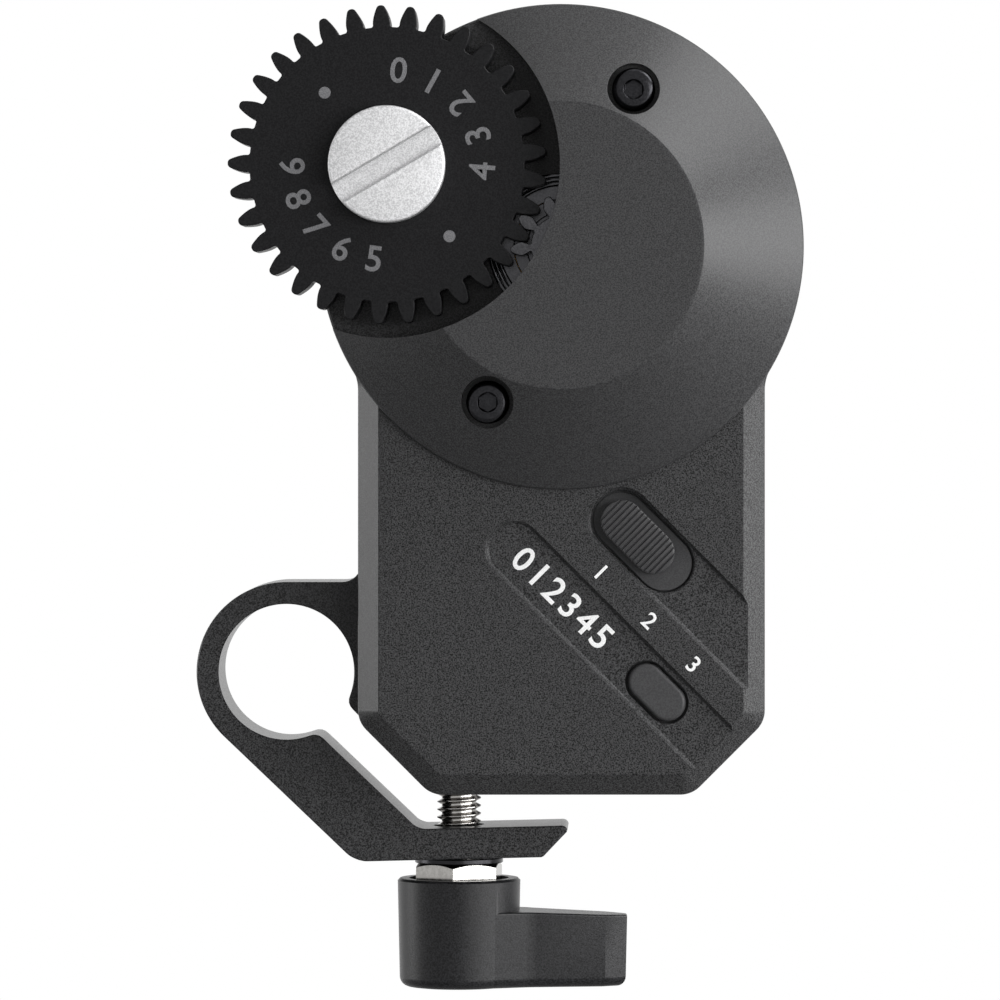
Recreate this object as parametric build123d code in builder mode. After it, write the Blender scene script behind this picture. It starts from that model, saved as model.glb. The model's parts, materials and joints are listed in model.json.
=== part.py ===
"""Follow focus motor unit with a 12 mm rod clamp, as an assembly of separate pieces.

Frame: millimetres, +X to the right, +Z up, the front of the unit faces -Y.
The origin lies on the axis of the rod clamp's bore, half way along it.
A "forward" distance is measured from that point towards the front, along -Y.
"""

import os
from math import acos, cos, degrees, pi, radians, sin, sqrt, tan

from build123d import *

os.makedirs("parts", exist_ok=True)

# ---------------------------------------------------------------- driving dimensions
# rod clamp and its arm
BORE_R = 6.1                # for a 12 mm rod
CLAMP_LENGTH = 10.0
RING_R = 8.08
SLOT_UPPER = 1.83           # from the bore's axis to the slot's upper side
SLOT_LOWER = 2.04           # from the bore's axis to the slot's lower side, on the arm
ARM_TOP = 14.42             # below the bore's axis
ARM_THICKNESS = 2.8
ARM_END_X = 24.95
ARM_END_CHAMFER = 2.3
ARM_HEEL_R = 2.6
ARM_INNER_R = 1.6
ARM_CLOSE = 1.35            # degrees that the tightened screw draws the arm up
LIP_R = 0.35
JAW_FILLET_R = 1.7

# housing
SIDE_X = 6.72               # from the bore's axis to the housing's near side
BODY_WIDTH = 36.2
BODY_BOTTOM_Z = -10.67
DRUM_Z = 38.03
DRUM_R = 21.5
CORNER_CUT = 6.5
CORNER_R = 2.5
WAIST_R = 4.0
FRONT = 13.5                # forward place of the front face
BACK = -10.5                # forward place of the shell's open back
BEVEL = 1.9
WALL = 1.8
FRONT_WALL = 1.7
BOSS_R = 2.3

# channels and controls on the front face
CHANNEL_DEPTH = 0.5
CHANNEL_TAPER = 40.0
SWITCH_CHANNEL_WIDTH = 5.95
BUTTON_CHANNEL_WIDTH = 5.25
CHANNEL_LENGTH = 45.0
SWITCH_CHANNEL_END = (30.12, 13.81)
BUTTON_CHANNEL_END = (20.65, 11.18)
WINDOW_LENGTH = 10.6
WINDOW_WIDTH = 5.2
WINDOW_LEAD = 0.2
WINDOW_MARGIN = 0.85        # from the window's near end to the knob at rest
TRAY_GAP = 0.15
TRAY_LIP = 0.9
TRAY_SHALLOW = 0.1          # below the channel's floor, at the tray's far end
TRAY_DEEP = 1.1             # the same at its near end
KNOB_HEIGHT = 0.7
KNOB_STEM = (2.2, 1.1)
KNOB_LENGTH = 7.7
KNOB_WIDTH = 3.8
KNOB_RIBS = 16
KNOB_RIB_PITCH = 0.45
KNOB_GROOVE = 0.18
SWITCH_TRAVEL = 1.5
BUTTON_LENGTH = 5.9
BUTTON_WIDTH = 3.3
BUTTON_GAP = 0.25
BUTTON_ALONG = 17.9         # from the button channel's end to the button
BUTTON_TRAVEL = 0.3
BUTTON_PROUD = 0.15         # above the channel's floor
BUTTON_FLANGE = 0.7

# gear cover on the drum
COVER_HEIGHT = 7.0
COVER_RIM = 0.6
COVER_FLAT_R = 12.6
COVER_WALL = 1.5
RECESS_R = 15.2
PINION_POCKET_R = 7.2
COVER_SCREW_CIRCLE_R = 15.2
COVER_SCREW_HOLE_R = 2.31

# gear train: module, teeth
LENS_MODULE = 0.8
DRIVE_TEETH = 33
PINION_TEETH = 9
PINION_UNDERCUT = 4.0       # degrees, at the foot of each pinion tooth
OUTPUT_MODULE = 0.5
OUTPUT_TEETH = 42
SECOND_PINION_TEETH = 14
FIRST_MODULE = 0.4
WHEEL_TEETH = 40
MOTOR_PINION_TEETH = 12
PRESSURE_ANGLE = 20.0
BACKLASH = 0.08
GEAR_DIRECTION = 155.0      # degrees, from the pinion's axis to the drive gear's
DRIVE_PHASE = 5.0           # degrees, of one tooth's centre at rest
DRIVE_WIDTH = 5.0
GEAR_FLOOR_GAP = 0.5        # between the drive gear and the recess's floor
INNER_GEAR_WIDTH = 2.6
GEAR_GAP = 0.5

# shafts, bearings and running fits
FIT = 0.03                  # radial clearance of a running fit
CLEARANCE = 0.3
SEAT = 0.01                 # radial gap of a pressed or glued seat
END_GAP = 0.2
PINION_SHAFT_R = 3.0
PINION_WEB_R = 2.5
REAR_JOURNAL_R = 2.0
OUTPUT_BEARING = (3.0, 6.5, 3.5)      # bore radius, outer radius, width
SMALL_BEARING = (2.0, 3.5, 2.5)
DRIVE_HUB_R = 3.5
COIN_SCREW_R = 5.15
COIN_SCREW_HEAD = 1.5
COIN_SLOT = 1.8
COIN_SLOT_DEPTH = 0.9
COIN_SLOT_ANGLE = 30.6

# motor and its carrier
FRAME_FRONT = 3.0           # forward place of the carrier plate's front
FRAME_THICKNESS = 2.0
MOTOR_R = 8.0
MOTOR_LENGTH = 9.5
MOTOR_WALL = 0.8
MOTOR_CAP = 1.0
MOTOR_SHAFT_R = 1.0
MOTOR_SCREW_OFFSET = 5.5
STATOR_TEETH = 6
ROTOR_R = 3.2
BUSH_WALL = 1.2
BUSH_LENGTH = 1.6
PIN_R = 1.0
POST_R = 1.2                # of the encoder board's posts
MAGNET_LENGTH = 1.5
BACK_COVER = 1.5
BACK_COVER_CHAMFER = 0.6
BACK_SCREW_Z = 4.0          # of the lower pair
BOSS_INSET = 1.6            # of the back cover's bosses, from the shell's inner wall

# small fasteners
SMALL_SCREW_R = 1.0         # M2
SMALL_HEAD_R = 1.9
SMALL_HEAD_HEIGHT = 1.2
SMALL_SOCKET = 1.5
BOARD_SCREW_R = 0.8         # M1.6
BOARD_HEAD_R = 1.4

# boards, switch and cable socket
BOARD_THICKNESS = 1.0
BOARD_DROP = 2.6            # behind the front wall
BOARD_EDGE = 0.9            # from the shell's inner wall
BOARD_TOP_Z = 17.6
BOARD_CORNER = 5.5
BOARD_SCREW_INSET = 2.5     # from the board's edges
ENCODER_BOARD = (13.0, 9.0, 0.8)
SWITCH_BODY = (9.0, 4.0, 1.9)
SLIDER = (1.6, 1.2, 0.8)
TACT_BODY = (4.2, 3.2, 1.2)
PLUNGER_R = 0.8
SOCKET_WIDTH = 8.94
SOCKET_HEIGHT = 3.26
SOCKET_WALL = 0.35
SOCKET_LENGTH = 7.5
SOCKET_GAP = 0.15
SOCKET_Z = 8.0

# clamp screw, washer and lever
SCREW_X = 15.4
SCREW_R = 2.0               # M4
SCREW_DEPTH = 5.4           # of thread in the housing
WASHER_R = 4.0
WASHER_THICKNESS = 0.5
HEX_FLATS = 7.1
HEX_HEIGHT = 1.75
INSERT_SPLINE = 2.4
LEVER_R = 5.56
LEVER_TOP_Z = -18.85
LEVER_HEIGHT = 9.8
LEVER_REACH = 15.25
LEVER_LIFT = 2.5
LEVER_DRAFT = 1.2
LEVER_RIM = 0.6             # depth of the recess round the hex
HANDLE_DROP = 2.9           # from the lever's top to its handle's
HANDLE_SLOPE = 0.45
HANDLE_ROOT = 4.3           # half thickness beside the hub
HANDLE_WAIST = (6.6, 3.0)   # along the handle, half thickness
HANDLE_END = (13.3, 2.1)
HANDLE_TIP = 0.9            # half thickness
HANDLE_BLEND_R = 4.0
LEVER_EDGE_R = 0.9
SPLINE_TEETH = 18
SPLINE_R = 3.1
SPLINE_DEPTH = 0.35
WEB = 1.0                   # of the lever, between its spline and its spring
SPRING_R = 2.0
SPRING_WIRE_R = 0.18
SPRING_TURNS = 3.25
SPRING_SOLID = 1.6          # room left for the pressed spring
LEVER_SCREW_R = 1.25        # M2.5
LEVER_SCREW_HEAD_R = 2.6

# ---------------------------------------------------------------- places that follow
DRUM_X = SIDE_X + BODY_WIDTH / 2
FAR_SIDE_X = SIDE_X + BODY_WIDTH
CAVITY_FRONT = FRONT - FRONT_WALL
CHANNEL_FLOOR = FRONT - CHANNEL_DEPTH
COVER_FLAT = FRONT + COVER_HEIGHT


def pitch_radius(module, teeth):
    """Pitch radius of a spur gear."""
    return module * teeth / 2


def polar(centre, radius, angle):
    """Point at a radius and an angle in degrees from a centre, in the front view."""
    return (centre[0] + radius * cos(radians(angle)), centre[1] + radius * sin(radians(angle)))


def mesh_phase(teeth_a, phase_a, teeth_b, direction):
    """Phase of gear b that meshes with gear a, when b lies in a direction from a."""
    pitch_a = 360 / teeth_a
    pitch_b = 360 / teeth_b
    turned = (direction - phase_a) / pitch_a
    return (direction + 180 - pitch_b * (0.5 - turned)) % pitch_b


OUTPUT_AXIS = (DRUM_X, DRUM_Z)
DRIVE_AXIS = polar(OUTPUT_AXIS, pitch_radius(LENS_MODULE, DRIVE_TEETH + PINION_TEETH), GEAR_DIRECTION)
SECOND_AXIS = polar(OUTPUT_AXIS, pitch_radius(OUTPUT_MODULE, OUTPUT_TEETH + SECOND_PINION_TEETH), -90)
MOTOR_AXIS = polar(SECOND_AXIS, pitch_radius(FIRST_MODULE, WHEEL_TEETH + MOTOR_PINION_TEETH), -90)

PINION_PHASE = mesh_phase(DRIVE_TEETH, DRIVE_PHASE, PINION_TEETH, GEAR_DIRECTION + 180)
SECOND_PINION_PHASE = mesh_phase(OUTPUT_TEETH, 0, SECOND_PINION_TEETH, -90)
MOTOR_PINION_PHASE = mesh_phase(WHEEL_TEETH, 0, MOTOR_PINION_TEETH, -90)

COVER_SCREW_PLACES = [polar(OUTPUT_AXIS, COVER_SCREW_CIRCLE_R, GEAR_DIRECTION + turn) for turn in (-90, 90)]
UPPER_CARRIER_R = pitch_radius(OUTPUT_MODULE, OUTPUT_TEETH) + OUTPUT_MODULE + BOSS_R + CLEARANCE / 2
LOWER_CARRIER_R = pitch_radius(FIRST_MODULE, WHEEL_TEETH) + FIRST_MODULE + BOSS_R + 3 * CLEARANCE
FRAME_SCREW_PLACES = [
    polar(OUTPUT_AXIS, UPPER_CARRIER_R, 60),
    polar(OUTPUT_AXIS, UPPER_CARRIER_R, 120),
    polar(SECOND_AXIS, LOWER_CARRIER_R, 198),
    polar(SECOND_AXIS, LOWER_CARRIER_R, -18),
]
DRUM_BOSS_R = DRUM_R - WALL - BOSS_INSET
BACK_SCREW_PLACES = [
    polar(OUTPUT_AXIS, DRUM_BOSS_R, 15),
    polar(OUTPUT_AXIS, DRUM_BOSS_R, 100),
    (SIDE_X + WALL + BOSS_INSET, BACK_SCREW_Z),
    (FAR_SIDE_X - WALL - BOSS_INSET, BACK_SCREW_Z),
]
BOARD_SCREW_PLACES = [
    (SIDE_X + WALL + BOARD_EDGE + BOARD_SCREW_INSET, BOARD_TOP_Z - BOARD_SCREW_INSET),
    (FAR_SIDE_X - WALL - BOARD_EDGE - BOARD_SCREW_INSET, BOARD_TOP_Z - BOARD_SCREW_INSET),
    (DRUM_X, BODY_BOTTOM_Z + WALL + BOARD_EDGE + BOARD_SCREW_INSET),
]
MOTOR_SCREW_PLACES = [(MOTOR_AXIS[0] + side * MOTOR_SCREW_OFFSET, MOTOR_AXIS[1]) for side in (-1, 1)]
POST_OFFSET = ENCODER_BOARD[0] / 2 - POST_R - END_GAP
POST_PLACES = [(OUTPUT_AXIS[0] + side * POST_OFFSET, OUTPUT_AXIS[1]) for side in (-1, 1)]

# forward stations, from the gears in front to the motor's back
GEAR_BACK = FRONT + GEAR_FLOOR_GAP
GEAR_FRONT = GEAR_BACK + DRIVE_WIDTH
SEAT_LIP = 0.8
OUTPUT_BEARING_FRONT = FRONT + 0.1
OUTPUT_BEARING_BACK = OUTPUT_BEARING_FRONT - OUTPUT_BEARING[2]
OUTPUT_GEAR_FRONT = OUTPUT_BEARING_BACK - SEAT_LIP - GEAR_GAP
OUTPUT_GEAR_BACK = OUTPUT_GEAR_FRONT - INNER_GEAR_WIDTH
WHEEL_FRONT = OUTPUT_GEAR_BACK - GEAR_GAP
WHEEL_BACK = FRAME_FRONT + END_GAP
FRAME_BACK = FRAME_FRONT - FRAME_THICKNESS
MOTOR_BACK = FRAME_BACK - MOTOR_LENGTH
SHAFT_REAR = FRAME_BACK - 4 * END_GAP
ENCODER_FRONT = SHAFT_REAR - MAGNET_LENGTH - 5 * END_GAP
DRIVE_FRONT_BEARING_BACK = FRONT - END_GAP - SMALL_BEARING[2]
DRIVE_REAR_BEARING_BACK = FRAME_FRONT + END_GAP
BOARD_FRONT = CAVITY_FRONT - BOARD_DROP
BOARD_BACK = BOARD_FRONT - BOARD_THICKNESS
SECOND_PINION_FRONT = OUTPUT_GEAR_FRONT + END_GAP
SECOND_BOSS_BACK = SECOND_PINION_FRONT + END_GAP

# places along the channels
WINDOW_ALONG = (WINDOW_LENGTH - WINDOW_WIDTH) / 2
KNOB_ALONG = WINDOW_MARGIN + (KNOB_LENGTH - WINDOW_WIDTH) / 2
SWITCH_ALONG = KNOB_ALONG + SWITCH_TRAVEL / 2
KNOB_BACK = CHANNEL_FLOOR + 0.05
SLIDER_BACK = BOARD_FRONT + SWITCH_BODY[2] - SLIDER[2]
BUTTON_BACK = BOARD_FRONT + TACT_BODY[2] + 2 * BUTTON_TRAVEL
BUTTON_FRONT = CHANNEL_FLOOR + BUTTON_PROUD

# heights of the clamp screw's pieces, tight as at rest
ARM_UNDER = (SCREW_X - WASHER_R) * tan(radians(ARM_CLOSE)) - (ARM_TOP + ARM_THICKNESS) / cos(radians(ARM_CLOSE))
WASHER_TOP = ARM_UNDER - 0.02
WASHER_BOTTOM = WASHER_TOP - WASHER_THICKNESS
HEX_BOTTOM = WASHER_BOTTOM - HEX_HEIGHT
INSERT_BOTTOM = HEX_BOTTOM - INSERT_SPLINE
LEVER_BOTTOM = LEVER_TOP_Z - LEVER_HEIGHT
WEB_TOP = INSERT_BOTTOM - 2 * END_GAP
WEB_BOTTOM = WEB_TOP - WEB
LEVER_SCREW_SEAT = WEB_BOTTOM - LEVER_LIFT - SPRING_SOLID


def front_facing(forward, place):
    """Plane facing the front at a place, local x along +X and local y along +Z."""
    return Plane(origin=(place[0], -forward, place[1]), x_dir=(1, 0, 0), z_dir=(0, -1, 0))


def back_facing(forward, place):
    """Plane facing the back at a place, local x along +X."""
    return Plane(origin=(place[0], -forward, place[1]), x_dir=(1, 0, 0), z_dir=(0, 1, 0))


def front_plane(forward):
    """Plane facing the front at a forward distance, level with the bore's axis."""
    return front_facing(forward, (0, 0))


def channel_plane(forward, place):
    """Front-facing plane at a place, its local x running down the channels at 45 degrees."""
    return Plane(origin=(place[0], -forward, place[1]), x_dir=(1, 0, -1), z_dir=(0, -1, 0))


def channel_side_plane(place):
    """Plane seen along the channels' width, local x running down them and local y forward."""
    return Plane(origin=(place[0], 0, place[1]), x_dir=(1, 0, -1), z_dir=(-1, 0, -1))


def level_plane(height):
    """Plane facing up at a height on the clamp screw's axis, local x along +X."""
    return Plane(origin=(SCREW_X, 0, height), x_dir=(1, 0, 0), z_dir=(0, 0, 1))


def under_plane(height):
    """Plane facing down at a height on the clamp screw's axis, local x along +X."""
    return Plane(origin=(SCREW_X, 0, height), x_dir=(1, 0, 0), z_dir=(0, 0, -1))


def socket_plane(across):
    """Plane facing the far side at an X, local x along +Z and local y forward."""
    forward = BOARD_BACK - SOCKET_HEIGHT / 2 - 0.02
    return Plane(origin=(across, -forward, SOCKET_Z), x_dir=(0, 0, 1), z_dir=(1, 0, 0))


def save(builder, name):
    """Label one finished sub-part and write it to its own STEP file."""
    builder.part.label = name
    export_step(builder.part, f"parts/{name}.step")


# ---------------------------------------------------------------- shared shapes
def turned(*outline):
    """Solid turned about local z from an outline of (radius, height) points."""
    with BuildPart() as blank:
        with BuildSketch(Plane.XZ):
            with BuildLine():
                Polyline(*outline, close=True)
            make_face()
        revolve(axis=Axis.Z)
    return blank.part


def ring(inner_r, outer_r, length):
    """Ring or tube about local z, standing on z = 0."""
    return turned((inner_r, 0), (outer_r, 0), (outer_r, length), (inner_r, length))


def socket_screw(shank_r, length, head_r, head_height, flats, dome=0.0):
    """Socket head screw, its seat at z = 0 and its head towards +z."""
    with BuildPart() as screw:
        add(turned((0, -length), (shank_r, -length), (shank_r, 0), (head_r, 0),
                   (head_r, head_height), (0, head_height)))
        if dome > 0:
            fillet(screw.edges().group_by(Axis.Z)[-1], dome)
        with BuildSketch(Plane.XY.offset(head_height)):
            RegularPolygon(flats / sqrt(3), 6, rotation=30)
        extrude(amount=-head_height * 0.6, mode=Mode.SUBTRACT)
    return screw.part


def flat_screw(shank_r, length, head_r, flats):
    """Countersunk screw, the top of its head at z = 0 and its shank towards -z."""
    with BuildPart() as screw:
        add(turned((0, -length), (shank_r, -length), (shank_r, shank_r - head_r), (head_r, 0), (0, 0)))
        with BuildSketch(Plane.XY):
            RegularPolygon(flats / sqrt(3), 6)
        extrude(amount=-flats / 2, mode=Mode.SUBTRACT)
    return screw.part


def involute(angle):
    """Involute function of an angle in radians."""
    return tan(angle) - angle


def tooth_face(module, teeth, tip_r, root_r, undercut, tip_round):
    """Face of one gear tooth centred on local x, from below the root circle to the tip."""
    pitch_r = pitch_radius(module, teeth)
    pressure = radians(PRESSURE_ANGLE)
    base_r = pitch_r * cos(pressure)
    pitch_half = (pi * module / 2 - BACKLASH / 2) / (2 * pitch_r) + involute(pressure)
    start_r = max(base_r, root_r)
    steps = 3
    flank = []
    for step in range(steps + 1):
        radius = start_r + (tip_r - start_r) * step / steps
        half = pitch_half - involute(acos(min(1, base_r / radius)))
        flank.append((radius * cos(half), radius * sin(half)))
    foot_half = pitch_half - involute(acos(min(1, base_r / start_r))) - radians(undercut)
    foot = (root_r * cos(foot_half), root_r * sin(foot_half))
    inner = (foot[0] * 0.9, foot[1] * 0.9)
    with BuildSketch() as tooth:
        with BuildLine():
            upper = Spline(*flank)
            lower = Spline(*[(x, -y) for x, y in flank])
            ThreePointArc(upper @ 1, (tip_r, 0), lower @ 1)
            if start_r > root_r:
                Polyline(upper @ 0, foot, inner, (inner[0], -inner[1]), (foot[0], -foot[1]), lower @ 0)
            else:
                Polyline(upper @ 0, inner, (inner[0], -inner[1]), lower @ 0)
        make_face()
        if tip_round > 0:
            fillet(tooth.vertices().sort_by(Axis.X)[-2:], tip_round)
    return tooth.sketch


def spur_face(module, teeth, phase, bore_r, dedendum=1.25, undercut=0.0, tip_round=0.0):
    """Face of a whole spur gear centred on the sketch's origin, with its bore."""
    pitch_r = pitch_radius(module, teeth)
    root_r = pitch_r - dedendum * module
    tooth = tooth_face(module, teeth, pitch_r + module, root_r, undercut, tip_round)
    with BuildSketch() as gear:
        Circle(root_r)
        with PolarLocations(0, teeth, start_angle=phase):
            add(tooth)
        if bore_r > 0:
            Circle(bore_r, mode=Mode.SUBTRACT)
    return gear.sketch


def spline_face(radius):
    """Star face of a serrated shaft or bore."""
    points = []
    for tooth in range(SPLINE_TEETH):
        points.append(polar((0, 0), radius, tooth * 360 / SPLINE_TEETH))
        points.append(polar((0, 0), radius - SPLINE_DEPTH, (tooth + 0.5) * 360 / SPLINE_TEETH))
    with BuildSketch() as star:
        with BuildLine():
            Polyline(*points, close=True)
        make_face()
    return star.sketch


def bearing_ring(bearing, inner):
    """One grooved ring of a ball bearing, its back face at z = 0."""
    bore_r, outer_r, width = bearing
    land = (outer_r - bore_r) * 0.32
    with BuildPart() as race:
        with BuildSketch(Plane.XZ):
            with Locations(((bore_r + land / 2) if inner else (outer_r - land / 2), width / 2)):
                Rectangle(land, width)
            with Locations(((bore_r + outer_r) / 2, width / 2)):
                Circle(ball_radius(bearing) + FIT, mode=Mode.SUBTRACT)
        revolve(axis=Axis.Z)
    return race.part


def ball_radius(bearing):
    """Radius of a bearing's balls."""
    return (bearing[1] - bearing[0]) * 0.27


def ball_set(bearing, count):
    """The balls of a bearing whose back face is at z = 0."""
    with BuildPart() as balls:
        with Locations((0, 0, bearing[2] / 2)):
            with PolarLocations((bearing[0] + bearing[1]) / 2, count):
                Sphere(ball_radius(bearing))
    return balls.part


# ---------------------------------------------------------------- outlines
with BuildSketch() as body_outline:
    with BuildLine():
        Polyline(
            (SIDE_X, DRUM_Z),
            (SIDE_X, BODY_BOTTOM_Z + CORNER_CUT),
            (SIDE_X + CORNER_CUT, BODY_BOTTOM_Z),
            (FAR_SIDE_X - CORNER_CUT, BODY_BOTTOM_Z),
            (FAR_SIDE_X, BODY_BOTTOM_Z + CORNER_CUT),
            (FAR_SIDE_X, DRUM_Z),
            close=True,
        )
    make_face()
    fillet(body_outline.vertices().filter_by(lambda v: v.Y < DRUM_Z - 1), CORNER_R)
    with Locations(OUTPUT_AXIS):
        Circle(DRUM_R)
    waist = body_outline.vertices().filter_by(
        lambda v: BODY_BOTTOM_Z + CORNER_CUT + CORNER_R < v.Y < DRUM_Z - 1
        and abs(abs(v.X - DRUM_X) - BODY_WIDTH / 2) < 0.01)
    fillet(waist, WAIST_R)

with BuildSketch() as cavity_outline:
    add(body_outline.sketch)
    offset(amount=-WALL, mode=Mode.REPLACE)

with BuildSketch() as arm_profile:
    ring_reach = RING_R * sqrt(2)
    slot_reach = SLOT_LOWER * sqrt(2)
    arm_bottom = ARM_TOP + ARM_THICKNESS
    with BuildLine():
        Polyline(
            (-ring_reach / 2, -ring_reach / 2),
            (arm_bottom - ring_reach, -arm_bottom),
            (ARM_END_X - ARM_END_CHAMFER, -arm_bottom),
            (ARM_END_X, -arm_bottom + ARM_END_CHAMFER),
            (ARM_END_X, -ARM_TOP),
            (ARM_TOP - slot_reach, -ARM_TOP),
            (-slot_reach / 2, -slot_reach / 2),
            close=True,
        )
    make_face()
    heel = arm_profile.vertices().sort_by_distance((arm_bottom - ring_reach, -arm_bottom, 0))[0]
    fillet(heel, ARM_HEEL_R)
    crook = arm_profile.vertices().sort_by_distance((ARM_TOP - slot_reach, -ARM_TOP, 0))[0]
    fillet(crook, ARM_INNER_R)

with BuildSketch() as clamp_profile:
    jaw_depth = WALL / 2
    jaw_reach = SLOT_UPPER * sqrt(2)
    with BuildLine():
        Polyline(
            (0, RING_R),
            (SIDE_X, RING_R),
            (SIDE_X, RING_R + 2 * JAW_FILLET_R),
            (SIDE_X + jaw_depth, RING_R + 2 * JAW_FILLET_R),
            (SIDE_X + jaw_depth, jaw_reach - SIDE_X),
            (SIDE_X, jaw_reach - SIDE_X),
            (0, jaw_reach),
            close=True,
        )
    make_face()
    root = clamp_profile.vertices().sort_by_distance((SIDE_X, RING_R, 0))[0]
    fillet(root, JAW_FILLET_R)
    Circle(RING_R)
    with Locations(Rot(0, 0, ARM_CLOSE)):
        add(arm_profile.sketch)
    with BuildLine():
        wedge = RING_R + 1
        upper_in = polar((0, 0), SLOT_UPPER, 45)
        upper_out = polar(upper_in, wedge, -45)
        lower_in = polar((0, 0), SLOT_LOWER, 225 + ARM_CLOSE)
        lower_out = polar(lower_in, wedge, ARM_CLOSE - 45)
        Polyline((0, 0), upper_in, upper_out, lower_out, lower_in, close=True)
    make_face(mode=Mode.SUBTRACT)
    Circle(BORE_R, mode=Mode.SUBTRACT)
    upper_lip = polar((0, 0), BORE_R, 45 - degrees(acos(SLOT_UPPER / BORE_R)))
    lower_lip = polar((0, 0), BORE_R, 225 + ARM_CLOSE + degrees(acos(SLOT_LOWER / BORE_R)))
    for lip in (upper_lip, lower_lip):
        fillet(clamp_profile.vertices().sort_by_distance((lip[0], lip[1], 0))[0], LIP_R)

# ---------------------------------------------------------------- housing
with BuildPart() as main_housing:
    with BuildSketch(front_plane(BACK)):
        add(body_outline.sketch)
    extrude(amount=FRONT - BACK)
    chamfer(main_housing.faces().sort_by(Axis.Y)[0].edges(), BEVEL)
    with BuildSketch(front_facing(FRONT - BEVEL, OUTPUT_AXIS)):
        Circle(DRUM_R)
    extrude(amount=BEVEL)
    with BuildSketch(front_plane(BACK)):
        add(cavity_outline.sketch)
    extrude(amount=CAVITY_FRONT - BACK, mode=Mode.SUBTRACT)
    # the clamp, one piece with the shell
    with BuildSketch(front_plane(-CLAMP_LENGTH / 2)):
        add(clamp_profile.sketch)
    extrude(amount=CLAMP_LENGTH)
    # bearing seats, standoffs and screw bosses, all rising from the front wall or the side walls
    with BuildSketch(front_facing(OUTPUT_BEARING_BACK - SEAT_LIP, OUTPUT_AXIS)):
        Circle(OUTPUT_BEARING[1] + 1.5)
    extrude(amount=CAVITY_FRONT + SEAT - OUTPUT_BEARING_BACK + SEAT_LIP)
    with BuildSketch(front_plane(FRAME_FRONT)):
        with Locations(OUTPUT_AXIS):
            Circle(DRUM_R - WALL / 2)
        with Locations(DRIVE_AXIS):
            Circle(SMALL_BEARING[1] + 1.5, mode=Mode.INTERSECT)
        with Locations(*FRAME_SCREW_PLACES):
            Circle(BOSS_R)
    extrude(amount=CAVITY_FRONT + SEAT - FRAME_FRONT)
    with BuildSketch(front_plane(CAVITY_FRONT - 4)):
        with Locations(*COVER_SCREW_PLACES):
            Circle(BOSS_R)
    extrude(amount=4 + SEAT)
    with BuildSketch(front_facing(SECOND_BOSS_BACK, SECOND_AXIS)):
        Circle(BOSS_R)
    extrude(amount=CAVITY_FRONT + SEAT - SECOND_BOSS_BACK)
    with BuildSketch(front_plane(BACK)):
        with Locations(*BACK_SCREW_PLACES):
            Circle(BOSS_R)
    extrude(amount=8)
    with BuildSketch(front_plane(BOARD_FRONT)):
        with Locations(*BOARD_SCREW_PLACES):
            Circle(BOARD_SCREW_R + 1)
    extrude(amount=CAVITY_FRONT + SEAT - BOARD_FRONT)
    with BuildSketch(level_plane(BODY_BOTTOM_Z + WALL / 2)):
        Rectangle(4 * SCREW_R, 4 * SCREW_R)
    extrude(amount=SCREW_DEPTH)
    # bearing bores
    with Locations(front_facing(FRONT, OUTPUT_AXIS)):
        CounterBoreHole(OUTPUT_BEARING[1] - 1.2, OUTPUT_BEARING[1] + SEAT,
                        FRONT - OUTPUT_BEARING_BACK, depth=FRONT - OUTPUT_BEARING_BACK + 1)
    with Locations(front_facing(FRONT, DRIVE_AXIS)):
        CounterBoreHole(SMALL_BEARING[1] - 0.6, SMALL_BEARING[1] + SEAT,
                        SMALL_BEARING[2] + END_GAP, depth=FRONT - FRAME_FRONT)
    with Locations(back_facing(FRAME_FRONT, DRIVE_AXIS)):
        CounterBoreHole(SMALL_BEARING[1] - 0.6, SMALL_BEARING[1] + SEAT,
                        SMALL_BEARING[2] + END_GAP, depth=4)
    # holes for screws and pins
    with Locations(*[front_facing(FRONT, place) for place in COVER_SCREW_PLACES]):
        Hole(SMALL_SCREW_R + FIT, depth=5)
    with Locations(*[back_facing(FRAME_FRONT, place) for place in FRAME_SCREW_PLACES]):
        Hole(SMALL_SCREW_R + FIT, depth=6)
    with Locations(*[back_facing(BACK, place) for place in BACK_SCREW_PLACES]):
        Hole(SMALL_SCREW_R + FIT, depth=7)
    with Locations(*[back_facing(BOARD_FRONT, place) for place in BOARD_SCREW_PLACES]):
        Hole(BOARD_SCREW_R + FIT, depth=BOARD_DROP)
    with Locations(back_facing(SECOND_BOSS_BACK, SECOND_AXIS)):
        Hole(PIN_R + SEAT, depth=CAVITY_FRONT - SECOND_BOSS_BACK)
    with Locations(under_plane(BODY_BOTTOM_Z)):
        Hole(SCREW_R + FIT, depth=SCREW_DEPTH)
    with Locations(under_plane(-ARM_TOP - 2 * ARM_THICKNESS)):
        Hole(SCREW_R + CLEARANCE, depth=3 * ARM_THICKNESS)
    # channels across the front face
    for end, width in ((SWITCH_CHANNEL_END, SWITCH_CHANNEL_WIDTH), (BUTTON_CHANNEL_END, BUTTON_CHANNEL_WIDTH)):
        with BuildSketch(channel_plane(FRONT, end)):
            with Locations(((CHANNEL_LENGTH - width) / 2, 0)):
                SlotOverall(CHANNEL_LENGTH, width)
        extrude(amount=-CHANNEL_DEPTH, taper=CHANNEL_TAPER, mode=Mode.SUBTRACT)
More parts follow.
